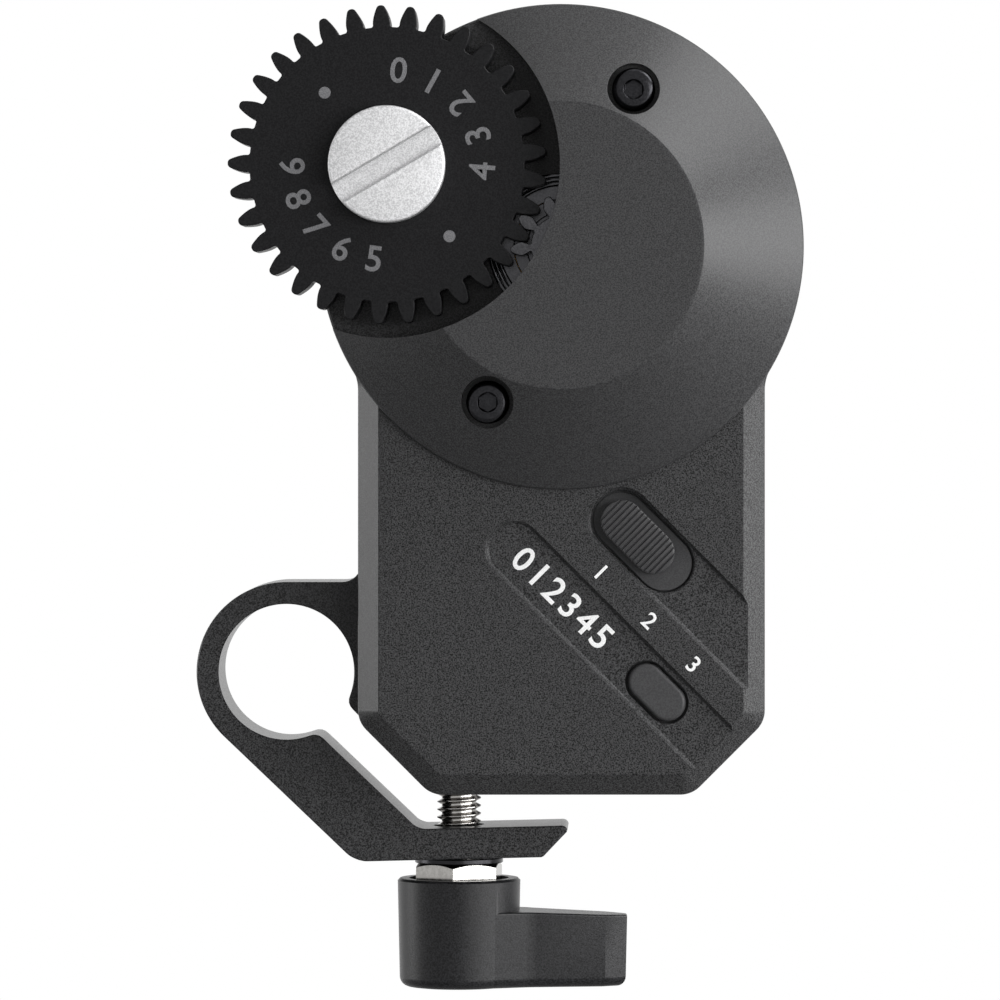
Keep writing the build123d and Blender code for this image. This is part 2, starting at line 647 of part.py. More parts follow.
    # the switch's window and the button's hole, through the wall
    with BuildSketch(channel_plane(CHANNEL_FLOOR, SWITCH_CHANNEL_END)):
        with Locations((WINDOW_ALONG, 0)):
            SlotOverall(WINDOW_LENGTH + 2 * WINDOW_LEAD, WINDOW_WIDTH + 2 * WINDOW_LEAD)
    extrude(amount=-WINDOW_LEAD, taper=44, mode=Mode.SUBTRACT)
    with BuildSketch(channel_plane(CHANNEL_FLOOR, SWITCH_CHANNEL_END)):
        with Locations((WINDOW_ALONG, 0)):
            SlotOverall(WINDOW_LENGTH, WINDOW_WIDTH)
    extrude(amount=-2 * FRONT_WALL, mode=Mode.SUBTRACT)
    with BuildSketch(channel_plane(CHANNEL_FLOOR, BUTTON_CHANNEL_END)):
        with Locations((BUTTON_ALONG, 0)):
            SlotOverall(BUTTON_LENGTH + 2 * BUTTON_GAP, BUTTON_WIDTH + 2 * BUTTON_GAP)
    extrude(amount=-2 * FRONT_WALL, mode=Mode.SUBTRACT)
    # the cable socket's slot in the far side
    with BuildSketch(socket_plane(FAR_SIDE_X)):
        SlotOverall(SOCKET_WIDTH + 2 * SOCKET_GAP, SOCKET_HEIGHT + 2 * SOCKET_GAP)
    extrude(amount=-1.5 * WALL, mode=Mode.SUBTRACT)
save(main_housing, "main_housing")

with BuildPart() as back_cover:
    with BuildSketch(front_plane(BACK - BACK_COVER)):
        add(body_outline.sketch)
    extrude(amount=BACK_COVER)
    chamfer(back_cover.faces().sort_by(Axis.Y)[-1].edges(), BACK_COVER_CHAMFER)
    with Locations(*[back_facing(BACK - BACK_COVER, place) for place in BACK_SCREW_PLACES]):
        CounterSinkHole(SMALL_SCREW_R + 0.1, SMALL_HEAD_R + 0.1, depth=2 * BACK_COVER)
save(back_cover, "back_cover")

back_screw = flat_screw(SMALL_SCREW_R, BACK_COVER + 5, SMALL_HEAD_R, SMALL_SOCKET)
with BuildPart() as back_cover_screws:
    with Locations(*[back_facing(BACK - BACK_COVER + 0.02, place) for place in BACK_SCREW_PLACES]):
        add(back_screw)
save(back_cover_screws, "back_cover_screws")

# ---------------------------------------------------------------- gear cover
COVER_SLOPE = (COVER_HEIGHT - COVER_RIM) / (DRUM_R - COVER_FLAT_R)
SCREW_SEAT = COVER_FLAT - (COVER_SCREW_CIRCLE_R - COVER_FLAT_R) * COVER_SLOPE - 3.2

cover_hollow_top = COVER_HEIGHT - COVER_WALL
with BuildPart() as cover_hollow:
    with Locations(front_facing(FRONT, OUTPUT_AXIS)):
        add(turned((0, -1), (DRUM_R - COVER_WALL, -1), (DRUM_R - COVER_WALL, 0),
                   (COVER_FLAT_R - COVER_WALL / 3, cover_hollow_top), (0, cover_hollow_top)))
    with Locations(front_facing(FRONT - 1, DRIVE_AXIS)):
        Cylinder(RECESS_R + COVER_WALL, 4 * COVER_HEIGHT, mode=Mode.SUBTRACT)
    with Locations(front_facing(FRONT - 1, OUTPUT_AXIS)):
        Cylinder(PINION_POCKET_R + COVER_WALL, 4 * COVER_HEIGHT, mode=Mode.SUBTRACT)
    with Locations(*[front_facing(FRONT - 1, place) for place in COVER_SCREW_PLACES]):
        Cylinder(COVER_SCREW_HOLE_R + 1, 4 * COVER_HEIGHT, mode=Mode.SUBTRACT)

with BuildPart() as gear_cover:
    with Locations(front_facing(FRONT, OUTPUT_AXIS)):
        add(turned((0, 0), (DRUM_R, 0), (DRUM_R, COVER_RIM), (COVER_FLAT_R, COVER_HEIGHT), (0, COVER_HEIGHT)))
    add(cover_hollow.part, mode=Mode.SUBTRACT)
    with Locations(front_facing(FRONT, DRIVE_AXIS)):
        Cylinder(RECESS_R, 4 * COVER_HEIGHT, mode=Mode.SUBTRACT)
    with BuildSketch(front_facing(FRONT, OUTPUT_AXIS)):
        Circle(PINION_POCKET_R)
    extrude(amount=GEAR_FRONT + END_GAP - FRONT, mode=Mode.SUBTRACT)
    with Locations(*[front_facing(SCREW_SEAT, place) for place in COVER_SCREW_PLACES]):
        Hole(SMALL_SCREW_R + 0.1, depth=COVER_HEIGHT)
    with BuildSketch(*[front_facing(SCREW_SEAT, place) for place in COVER_SCREW_PLACES]):
        Circle(COVER_SCREW_HOLE_R)
    extrude(amount=COVER_HEIGHT, mode=Mode.SUBTRACT)
save(gear_cover, "gear_cover")

cover_screw = socket_screw(SMALL_SCREW_R, SCREW_SEAT - FRONT + 4, SMALL_HEAD_R, 2.0, SMALL_SOCKET, dome=0.5)
with BuildPart() as cover_screws:
    with Locations(*[front_facing(SCREW_SEAT, place) for place in COVER_SCREW_PLACES]):
        add(cover_screw)
save(cover_screws, "cover_screws")

# ---------------------------------------------------------------- drive gear group
with BuildPart() as drive_gear:
    with BuildSketch(front_facing(GEAR_BACK, DRIVE_AXIS)):
        add(spur_face(LENS_MODULE, DRIVE_TEETH, DRIVE_PHASE, DRIVE_HUB_R + SEAT, dedendum=1.4, tip_round=0.2))
    extrude(amount=DRIVE_WIDTH)
save(drive_gear, "drive_gear")

hub_front = DRIVE_WIDTH - 0.4
with BuildPart() as drive_shaft:
    journal = GEAR_BACK - FRAME_FRONT + 1.0
    with Locations(front_facing(GEAR_BACK, DRIVE_AXIS)):
        add(turned(
            (0, -journal), (SMALL_BEARING[0] - SEAT, -journal), (SMALL_BEARING[0] - SEAT, -0.7),
            (SMALL_BEARING[0] + 0.45, -0.7), (SMALL_BEARING[0] + 0.45, -0.4), (DRIVE_HUB_R + 1, -0.4),
            (DRIVE_HUB_R + 1, 0), (DRIVE_HUB_R, 0), (DRIVE_HUB_R, hub_front), (0, hub_front)))
    with Locations(front_facing(GEAR_BACK + hub_front, DRIVE_AXIS)):
        Hole(1.5 + FIT, depth=hub_front)
    with Locations(front_facing(FRAME_FRONT - 0.3, DRIVE_AXIS)):
        add(ring(SMALL_BEARING[0] - 0.4, SMALL_BEARING[0] + 1, 0.5), mode=Mode.SUBTRACT)
save(drive_shaft, "drive_shaft")

with BuildPart() as shaft_clip:
    with Locations(front_facing(FRAME_FRONT - 0.28, DRIVE_AXIS)):
        add(ring(SMALL_BEARING[0] - 0.38, SMALL_BEARING[0] + 1, 0.44))
    with BuildSketch(front_facing(FRAME_FRONT - 1, DRIVE_AXIS)):
        with Locations((0, -SMALL_BEARING[0])):
            Rectangle(1.4, 2 * SMALL_BEARING[0])
    extrude(amount=2, mode=Mode.SUBTRACT)
save(shaft_clip, "shaft_clip")

with BuildPart() as coin_screw:
    with Locations(front_facing(GEAR_FRONT, DRIVE_AXIS)):
        add(turned((0, -DRIVE_WIDTH + 0.8), (1.5, -DRIVE_WIDTH + 0.8), (1.5, 0), (COIN_SCREW_R, 0),
                   (COIN_SCREW_R, COIN_SCREW_HEAD), (0, COIN_SCREW_HEAD)))
    fillet(coin_screw.faces().sort_by(Axis.Y)[0].edges(), 0.25)
    with BuildSketch(front_facing(GEAR_FRONT + COIN_SCREW_HEAD, DRIVE_AXIS)):
        Rectangle(3 * COIN_SCREW_R, COIN_SLOT, rotation=COIN_SLOT_ANGLE)
    extrude(amount=-COIN_SLOT_DEPTH, mode=Mode.SUBTRACT)
save(coin_screw, "coin_screw")

drive_bearing_places = [
    front_facing(DRIVE_FRONT_BEARING_BACK, DRIVE_AXIS),
    front_facing(DRIVE_REAR_BEARING_BACK, DRIVE_AXIS),
]
small_inner = bearing_ring(SMALL_BEARING, inner=True)
small_outer = bearing_ring(SMALL_BEARING, inner=False)
small_balls = ball_set(SMALL_BEARING, 9)
with BuildPart() as drive_bearing_inner_rings:
    with Locations(*drive_bearing_places):
        add(small_inner)
save(drive_bearing_inner_rings, "drive_bearing_inner_rings")

with BuildPart() as drive_bearing_outer_rings:
    with Locations(*drive_bearing_places):
        add(small_outer)
save(drive_bearing_outer_rings, "drive_bearing_outer_rings")

with BuildPart() as drive_bearing_balls:
    with Locations(*drive_bearing_places):
        add(small_balls)
save(drive_bearing_balls, "drive_bearing_balls")

# ---------------------------------------------------------------- output shaft group
with BuildPart() as pinion_shaft:
    with BuildSketch(front_facing(OUTPUT_BEARING_FRONT, OUTPUT_AXIS)):
        add(spur_face(LENS_MODULE, PINION_TEETH, PINION_PHASE, 0, dedendum=1.25, undercut=PINION_UNDERCUT))
    extrude(amount=GEAR_FRONT - OUTPUT_BEARING_FRONT)
    with Locations(front_facing(OUTPUT_BEARING_FRONT, OUTPUT_AXIS)):
        web = OUTPUT_BEARING_FRONT - OUTPUT_GEAR_FRONT
        step = OUTPUT_BEARING_FRONT - OUTPUT_GEAR_BACK
        end = OUTPUT_BEARING_FRONT - SHAFT_REAR
        add(turned((0, 0.2), (PINION_SHAFT_R - SEAT, 0.2), (PINION_SHAFT_R - SEAT, -web),
                   (PINION_WEB_R, -web), (PINION_WEB_R, -step), (REAR_JOURNAL_R, -step),
                   (REAR_JOURNAL_R, -end), (0, -end)))
save(pinion_shaft, "pinion_shaft")

with BuildPart() as output_gear:
    with BuildSketch(front_facing(OUTPUT_GEAR_BACK, OUTPUT_AXIS)):
        add(spur_face(OUTPUT_MODULE, OUTPUT_TEETH, 0, PINION_WEB_R + SEAT))
    extrude(amount=INNER_GEAR_WIDTH)
save(output_gear, "output_gear")

with BuildPart() as output_bearing_inner_ring:
    with Locations(front_facing(OUTPUT_BEARING_BACK, OUTPUT_AXIS)):
        add(bearing_ring(OUTPUT_BEARING, inner=True))
save(output_bearing_inner_ring, "output_bearing_inner_ring")

with BuildPart() as output_bearing_outer_ring:
    with Locations(front_facing(OUTPUT_BEARING_BACK, OUTPUT_AXIS)):
        add(bearing_ring(OUTPUT_BEARING, inner=False))
save(output_bearing_outer_ring, "output_bearing_outer_ring")

with BuildPart() as output_bearing_balls:
    with Locations(front_facing(OUTPUT_BEARING_BACK, OUTPUT_AXIS)):
        add(ball_set(OUTPUT_BEARING, 8))
save(output_bearing_balls, "output_bearing_balls")

with BuildPart() as output_bearing_shield:
    bearing_land = (OUTPUT_BEARING[1] - OUTPUT_BEARING[0]) * 0.32
    with Locations(front_facing(OUTPUT_BEARING_FRONT - 0.3, OUTPUT_AXIS)):
        add(ring(OUTPUT_BEARING[0] + bearing_land + 0.1, OUTPUT_BEARING[1] - bearing_land - SEAT, 0.2))
save(output_bearing_shield, "output_bearing_shield")

with BuildPart() as output_bush:
    with Locations(front_facing(FRAME_BACK, OUTPUT_AXIS)):
        add(ring(REAR_JOURNAL_R + FIT, REAR_JOURNAL_R + BUSH_WALL, FRAME_THICKNESS))
save(output_bush, "output_bush")

with BuildPart() as encoder_magnet:
    with Locations(front_facing(SHAFT_REAR - MAGNET_LENGTH, OUTPUT_AXIS)):
        add(ring(0, REAR_JOURNAL_R + 0.5, MAGNET_LENGTH))
save(encoder_magnet, "encoder_magnet")

with BuildPart() as encoder_board:
    with BuildSketch(front_facing(ENCODER_FRONT - ENCODER_BOARD[2], OUTPUT_AXIS)):
        RectangleRounded(ENCODER_BOARD[0], ENCODER_BOARD[1], 1)
    extrude(amount=ENCODER_BOARD[2])
    with BuildSketch(front_facing(ENCODER_FRONT, OUTPUT_AXIS)):
        Rectangle(3, 3)
    extrude(amount=0.6)
save(encoder_board, "encoder_board")

# ---------------------------------------------------------------- carrier and middle gear
with BuildPart() as carrier_plate:
    with BuildSketch(front_plane(FRAME_BACK)) as carrier_face:
        with BuildLine():
            for place in FRAME_SCREW_PLACES:
                CenterArc(place, BOSS_R + 1, 0, 360)
            CenterArc(MOTOR_AXIS, MOTOR_R + 0.6, 0, 360)
        make_hull()
    extrude(amount=FRAME_THICKNESS)
    with BuildSketch(*[front_facing(ENCODER_FRONT, place) for place in POST_PLACES]):
        Circle(1.2)
    extrude(amount=FRAME_BACK - ENCODER_FRONT)
    with Locations(front_facing(FRAME_FRONT, OUTPUT_AXIS)):
        Hole(REAR_JOURNAL_R + BUSH_WALL + SEAT, depth=FRAME_THICKNESS)
    with Locations(front_facing(FRAME_FRONT, SECOND_AXIS)):
        Hole(PIN_R + SEAT, depth=FRAME_THICKNESS)
    with Locations(front_facing(FRAME_FRONT, MOTOR_AXIS)):
        Hole(pitch_radius(FIRST_MODULE, MOTOR_PINION_TEETH) + FIRST_MODULE + CLEARANCE, depth=FRAME_THICKNESS)
    with Locations(*[front_facing(FRAME_FRONT, place) for place in FRAME_SCREW_PLACES + MOTOR_SCREW_PLACES]):
        Hole(SMALL_SCREW_R + 0.1, depth=FRAME_THICKNESS)
save(carrier_plate, "carrier_plate")

carrier_screw = socket_screw(SMALL_SCREW_R, FRAME_THICKNESS + 5, SMALL_HEAD_R, SMALL_HEAD_HEIGHT, SMALL_SOCKET)
with BuildPart() as carrier_screws:
    with Locations(*[back_facing(FRAME_BACK, place) for place in FRAME_SCREW_PLACES]):
        add(carrier_screw)
save(carrier_screws, "carrier_screws")

with BuildPart() as middle_gear:
    with BuildSketch(front_facing(WHEEL_BACK, SECOND_AXIS)):
        add(spur_face(FIRST_MODULE, WHEEL_TEETH, 0, PIN_R + FIT))
    extrude(amount=WHEEL_FRONT - WHEEL_BACK)
    with BuildSketch(front_facing(WHEEL_FRONT, SECOND_AXIS)):
        add(spur_face(OUTPUT_MODULE, SECOND_PINION_TEETH, SECOND_PINION_PHASE, PIN_R + FIT, undercut=2))
    extrude(amount=SECOND_PINION_FRONT - WHEEL_FRONT)
save(middle_gear, "middle_gear")

with BuildPart() as middle_gear_pin:
    with Locations(front_facing(FRAME_BACK, SECOND_AXIS)):
        add(ring(0, PIN_R, CAVITY_FRONT - END_GAP - FRAME_BACK))
save(middle_gear_pin, "middle_gear_pin")

# ---------------------------------------------------------------- motor
bush_r = MOTOR_SHAFT_R + BUSH_WALL
core_back = MOTOR_BACK + BUSH_LENGTH + 0.8
core_front = FRAME_BACK - BUSH_LENGTH - END_GAP
with BuildPart() as motor_can:
    can_length = MOTOR_LENGTH - MOTOR_CAP
    with Locations(front_facing(MOTOR_BACK + MOTOR_CAP, MOTOR_AXIS)):
        add(turned((MOTOR_R - MOTOR_WALL, 0), (MOTOR_R, 0), (MOTOR_R, can_length), (bush_r + SEAT, can_length),
                   (bush_r + SEAT, can_length - MOTOR_WALL), (MOTOR_R - MOTOR_WALL, can_length - MOTOR_WALL)))
    with Locations(*[front_facing(FRAME_BACK, place) for place in MOTOR_SCREW_PLACES]):
        Hole(SMALL_SCREW_R + FIT, depth=MOTOR_WALL)
save(motor_can, "motor_can")

with BuildPart() as motor_end_cap:
    with Locations(front_facing(MOTOR_BACK, MOTOR_AXIS)):
        add(turned((bush_r + SEAT, 0), (MOTOR_R, 0), (MOTOR_R, MOTOR_CAP),
                   (MOTOR_R - MOTOR_WALL - SEAT, MOTOR_CAP), (MOTOR_R - MOTOR_WALL - SEAT, 2 * MOTOR_CAP),
                   (bush_r + SEAT, 2 * MOTOR_CAP)))
save(motor_end_cap, "motor_end_cap")

with BuildPart() as motor_bushes:
    with Locations(front_facing(MOTOR_BACK, MOTOR_AXIS), front_facing(FRAME_BACK - BUSH_LENGTH, MOTOR_AXIS)):
        add(ring(MOTOR_SHAFT_R + FIT, bush_r, BUSH_LENGTH))
save(motor_bushes, "motor_bushes")

with BuildPart() as motor_stator:
    stator_r = MOTOR_R - MOTOR_WALL - SEAT
    with BuildSketch(front_facing(core_back, MOTOR_AXIS)):
        Circle(stator_r)
        Circle(stator_r - 1, mode=Mode.SUBTRACT)
        with PolarLocations((stator_r + ROTOR_R) / 2, STATOR_TEETH):
            Rectangle(stator_r - ROTOR_R - 2 * CLEARANCE, 2)
    extrude(amount=core_front - core_back)
save(motor_stator, "motor_stator")

with BuildPart() as motor_magnet:
    with Locations(front_facing(core_back, MOTOR_AXIS)):
        add(ring(MOTOR_SHAFT_R + SEAT, ROTOR_R, core_front - core_back))
save(motor_magnet, "motor_magnet")

with BuildPart() as motor_shaft:
    with Locations(front_facing(MOTOR_BACK + END_GAP, MOTOR_AXIS)):
        add(ring(0, MOTOR_SHAFT_R, WHEEL_FRONT - MOTOR_BACK - END_GAP))
save(motor_shaft, "motor_shaft")

with BuildPart() as motor_pinion:
    with BuildSketch(front_facing(WHEEL_BACK, MOTOR_AXIS)):
        add(spur_face(FIRST_MODULE, MOTOR_PINION_TEETH, MOTOR_PINION_PHASE, MOTOR_SHAFT_R + SEAT, undercut=3))
    extrude(amount=WHEEL_FRONT - WHEEL_BACK)
save(motor_pinion, "motor_pinion")

motor_screw = socket_screw(SMALL_SCREW_R, FRAME_THICKNESS + MOTOR_WALL, 1.7, 1.0, SMALL_SOCKET)
with BuildPart() as motor_screws:
    with Locations(*[front_facing(FRAME_FRONT, place) for place in MOTOR_SCREW_PLACES]):
        add(motor_screw)
save(motor_screws, "motor_screws")

# ---------------------------------------------------------------- electronics
board_left = SIDE_X + WALL + BOARD_EDGE
board_right = FAR_SIDE_X - WALL - BOARD_EDGE
board_low = BODY_BOTTOM_Z + WALL + BOARD_EDGE
with BuildPart() as control_board:
    with BuildSketch(front_plane(BOARD_BACK)) as board_face:
        with BuildLine():
            Polyline((board_left, BOARD_TOP_Z), (board_left, board_low), (board_right, board_low),
                     (board_right, BOARD_TOP_Z), close=True)
        make_face()
        chamfer(board_face.vertices().group_by(Axis.Y)[0], BOARD_CORNER)
    extrude(amount=BOARD_THICKNESS)
    with Locations(*[front_facing(BOARD_FRONT, place) for place in BOARD_SCREW_PLACES]):
        Hole(BOARD_SCREW_R + 0.1, depth=BOARD_THICKNESS)
save(control_board, "control_board")

with BuildPart() as board_chips:
    for place, size in (((DRUM_X - 6, 6.0), (5, 5)), ((DRUM_X + 2, 8.0), (4, 4)), ((DRUM_X + 3, 0.0), (6, 3))):
        with BuildSketch(front_facing(BOARD_BACK - 0.9, place)):
            Rectangle(*size)
        extrude(amount=0.9)
save(board_chips, "board_chips")

board_screw = socket_screw(BOARD_SCREW_R, BOARD_THICKNESS + 2, BOARD_HEAD_R, 0.9, 1.1)
with BuildPart() as board_screws:
    with Locations(*[back_facing(BOARD_BACK, place) for place in BOARD_SCREW_PLACES]):
        add(board_screw)
save(board_screws, "board_screws")

with BuildPart() as cable_socket:
    with BuildSketch(socket_plane(FAR_SIDE_X - SOCKET_GAP - SOCKET_LENGTH)):
        SlotOverall(SOCKET_WIDTH, SOCKET_HEIGHT)
    extrude(amount=SOCKET_LENGTH)
    with BuildSketch(socket_plane(FAR_SIDE_X - SOCKET_GAP)):
        SlotOverall(SOCKET_WIDTH - 2 * SOCKET_WALL, SOCKET_HEIGHT - 2 * SOCKET_WALL)
    extrude(amount=-SOCKET_LENGTH + 1, mode=Mode.SUBTRACT)
    with BuildSketch(socket_plane(FAR_SIDE_X - SOCKET_GAP - SOCKET_LENGTH)):
        Rectangle(6.7, 0.7)
    extrude(amount=SOCKET_LENGTH - 1)
save(cable_socket, "cable_socket")

# ---------------------------------------------------------------- mode switch
with BuildPart() as slide_switch:
    with BuildSketch(channel_plane(BOARD_FRONT, SWITCH_CHANNEL_END)):
        with Locations((SWITCH_ALONG, 0)):
            Rectangle(SWITCH_BODY[0], SWITCH_BODY[1])
    extrude(amount=SWITCH_BODY[2])
    with BuildSketch(channel_plane(BOARD_FRONT + SWITCH_BODY[2], SWITCH_CHANNEL_END)):
        with Locations((SWITCH_ALONG, 0)):
            Rectangle(SLIDER[0] + SWITCH_TRAVEL + 2 * CLEARANCE, SLIDER[1] + CLEARANCE)
    extrude(amount=-SLIDER[2] - 0.05, mode=Mode.SUBTRACT)
save(slide_switch, "slide_switch")

with BuildPart() as switch_slider:
    with BuildSketch(channel_plane(SLIDER_BACK, SWITCH_CHANNEL_END)):
        with Locations((KNOB_ALONG, 0)):
            Rectangle(SLIDER[0], SLIDER[1])
    extrude(amount=SLIDER[2])
save(switch_slider, "switch_slider")

with BuildPart() as switch_tray:
    tray_back = BOARD_FRONT + SWITCH_BODY[2] + END_GAP
    tray_length = WINDOW_LENGTH - 2 * TRAY_GAP
    with BuildSketch(channel_plane(tray_back, SWITCH_CHANNEL_END)):
        with Locations((WINDOW_ALONG, 0)):
            SlotOverall(WINDOW_LENGTH + 2 * TRAY_LIP, WINDOW_WIDTH + 2 * TRAY_LIP)
    extrude(amount=CAVITY_FRONT - tray_back)
    with BuildSketch(channel_plane(CAVITY_FRONT, SWITCH_CHANNEL_END)):
        with Locations((WINDOW_ALONG, 0)):
            SlotOverall(tray_length, WINDOW_WIDTH - 2 * TRAY_GAP)
    extrude(amount=CHANNEL_FLOOR - CAVITY_FRONT)
    with BuildSketch(channel_side_plane(SWITCH_CHANNEL_END)):
        with BuildLine():
            near = WINDOW_ALONG - WINDOW_LENGTH / 2
            far = WINDOW_ALONG + WINDOW_LENGTH / 2
            Polyline((near, CHANNEL_FLOOR - TRAY_DEEP), (far, CHANNEL_FLOOR - TRAY_SHALLOW),
                     (far, CHANNEL_FLOOR + 1), (near, CHANNEL_FLOOR + 1), close=True)
        make_face()
    extrude(amount=WINDOW_WIDTH, both=True, mode=Mode.SUBTRACT)
    with BuildSketch(channel_plane(tray_back, SWITCH_CHANNEL_END)):
        with Locations((SWITCH_ALONG, 0)):
            Rectangle(KNOB_STEM[0] + SWITCH_TRAVEL + 2 * CLEARANCE, KNOB_STEM[1] + CLEARANCE)
    extrude(amount=CHANNEL_FLOOR - tray_back, mode=Mode.SUBTRACT)
save(switch_tray, "switch_tray")

with BuildPart() as mode_knob:
    with BuildSketch(channel_plane(KNOB_BACK, SWITCH_CHANNEL_END)):
        with Locations((KNOB_ALONG, 0)):
            SlotOverall(KNOB_LENGTH, KNOB_WIDTH)
    extrude(amount=KNOB_HEIGHT)
    fillet(mode_knob.faces().sort_by(Axis.Y)[0].edges(), KNOB_HEIGHT / 3)
    with BuildSketch(channel_plane(KNOB_BACK + KNOB_HEIGHT, SWITCH_CHANNEL_END)):
        with Locations((KNOB_ALONG, 0)):
            with GridLocations(KNOB_RIB_PITCH, 0, KNOB_RIBS, 1):
                Rectangle(KNOB_GROOVE, 2 * KNOB_WIDTH)
    extrude(amount=-KNOB_GROOVE, mode=Mode.SUBTRACT)
    with BuildSketch(channel_plane(SLIDER_BACK + SLIDER[2], SWITCH_CHANNEL_END)):
        with Locations((KNOB_ALONG, 0)):
            Rectangle(*KNOB_STEM)
    extrude(amount=KNOB_BACK - SLIDER_BACK - SLIDER[2])
save(mode_knob, "mode_knob")

# ---------------------------------------------------------------- set button
with BuildPart() as tact_switch:
    with BuildSketch(channel_plane(BOARD_FRONT, BUTTON_CHANNEL_END)):
        with Locations((BUTTON_ALONG, 0)):
            Rectangle(TACT_BODY[0], TACT_BODY[1])
    extrude(amount=TACT_BODY[2])
    with BuildSketch(channel_plane(BOARD_FRONT + TACT_BODY[2], BUTTON_CHANNEL_END)):
        with Locations((BUTTON_ALONG, 0)):
            Circle(PLUNGER_R + 2 * FIT)
    extrude(amount=-TACT_BODY[2] * 0.8, mode=Mode.SUBTRACT)
save(tact_switch, "tact_switch")

with BuildPart() as tact_plunger:
    plunger_back = BOARD_FRONT + TACT_BODY[2] * 0.2 + BUTTON_TRAVEL + FIT
    with BuildSketch(channel_plane(plunger_back, BUTTON_CHANNEL_END)):
        with Locations((BUTTON_ALONG, 0)):
            Circle(PLUNGER_R)
    extrude(amount=BUTTON_BACK - plunger_back)
save(tact_plunger, "tact_plunger")

with BuildPart() as set_button:
    with BuildSketch(channel_plane(BUTTON_BACK, BUTTON_CHANNEL_END)):
        with Locations((BUTTON_ALONG, 0)):
            SlotOverall(BUTTON_LENGTH, BUTTON_WIDTH)
    extrude(amount=BUTTON_FRONT - BUTTON_BACK)
    fillet(set_button.faces().sort_by(Axis.Y)[0].edges(), 0.3)
    with BuildSketch(channel_plane(BUTTON_BACK, BUTTON_CHANNEL_END)):
        with Locations((BUTTON_ALONG, 0)):
            SlotOverall(BUTTON_LENGTH + 2 * BUTTON_FLANGE, BUTTON_WIDTH + 2 * BUTTON_FLANGE)
    extrude(amount=0.5)
save(set_button, "set_button")

# ---------------------------------------------------------------- clamp screw and lever
with BuildPart() as clamp_washer:
    with Locations(level_plane(WASHER_BOTTOM)):
        add(ring(SCREW_R + CLEARANCE / 2, WASHER_R, WASHER_THICKNESS))
save(clamp_washer, "clamp_washer")

hex_corner_r = HEX_FLATS / sqrt(3)
with BuildPart() as clamp_screw:
    with BuildSketch(level_plane(HEX_BOTTOM)):
        RegularPolygon(hex_corner_r, 6, rotation=30)
    extrude(amount=HEX_HEIGHT)
    with Locations(level_plane(HEX_BOTTOM)):
        add(turned((0, 0), (hex_corner_r, 0), (hex_corner_r, HEX_HEIGHT - 0.35),
                   (HEX_FLATS / 2 - 0.1, HEX_HEIGHT), (0, HEX_HEIGHT)), mode=Mode.INTERSECT)
    with BuildSketch(level_plane(WASHER_BOTTOM)):
        Circle(SCREW_R)
    extrude(amount=BODY_BOTTOM_Z + SCREW_DEPTH - 0.5 - WASHER_BOTTOM)
    with BuildSketch(level_plane(INSERT_BOTTOM)):
        add(spline_face(SPLINE_R))
    extrude(amount=HEX_BOTTOM - INSERT_BOTTOM)
    with Locations(under_plane(INSERT_BOTTOM)):
        Hole(LEVER_SCREW_R + FIT, depth=INSERT_SPLINE)
save(clamp_screw, "clamp_screw")

split_r = LEVER_R - HANDLE_DROP * tan(radians(LEVER_DRAFT))
with BuildPart() as lever:
    with BuildSketch(level_plane(LEVER_TOP_Z)):
        Circle(LEVER_R)
    extrude(amount=-HANDLE_DROP, taper=LEVER_DRAFT)
    with BuildSketch(level_plane(LEVER_TOP_Z - HANDLE_DROP)) as handle_plan:
        with BuildLine():
            Polyline((0, HANDLE_ROOT), HANDLE_WAIST, HANDLE_END, (LEVER_REACH, HANDLE_TIP),
                     (LEVER_REACH, -HANDLE_TIP), (HANDLE_END[0], -HANDLE_END[1]),
                     (HANDLE_WAIST[0], -HANDLE_WAIST[1]), (0, -HANDLE_ROOT), close=True)
        make_face()
        fillet(handle_plan.vertices().filter_by(lambda v: abs(v.X - HANDLE_WAIST[0]) < 0.01), HANDLE_BLEND_R)
        Circle(split_r)
    extrude(amount=HANDLE_DROP - LEVER_HEIGHT, taper=LEVER_DRAFT)
    fillet(lever.faces().sort_by(Axis.Z)[0].edges(), LEVER_EDGE_R)
    with BuildSketch(Plane.XZ):
        with BuildLine():
            top = LEVER_TOP_Z - HANDLE_DROP
            Polyline((SCREW_X + LEVER_R, top), (SCREW_X + LEVER_REACH + 1, top - HANDLE_SLOPE),
                     (SCREW_X + LEVER_REACH + 1, top + 1), (SCREW_X + LEVER_R, top + 1), close=True)
        make_face()
    extrude(amount=LEVER_R, both=True, mode=Mode.SUBTRACT)
    # recess for the hex, serrated bore, web and spring well
    with BuildSketch(level_plane(LEVER_TOP_Z)):
        Circle(hex_corner_r + CLEARANCE)
    extrude(amount=-LEVER_RIM, mode=Mode.SUBTRACT)
    with BuildSketch(level_plane(LEVER_TOP_Z)):
        add(spline_face(SPLINE_R + 0.08))
    extrude(amount=WEB_TOP - LEVER_TOP_Z, mode=Mode.SUBTRACT)
    with Locations(under_plane(LEVER_BOTTOM)):
        CounterBoreHole(LEVER_SCREW_R + 0.15, LEVER_SCREW_HEAD_R + CLEARANCE, WEB_BOTTOM - LEVER_BOTTOM,
                        depth=LEVER_HEIGHT)
save(lever, "lever")

screw_length = INSERT_BOTTOM + INSERT_SPLINE - 0.4 - LEVER_SCREW_SEAT
lever_screw_blank = socket_screw(LEVER_SCREW_R, screw_length, LEVER_SCREW_HEAD_R, 1.2, 2.0)
with BuildPart() as lever_screw:
    with Locations(under_plane(LEVER_SCREW_SEAT)):
        add(lever_screw_blank)
save(lever_screw, "lever_screw")

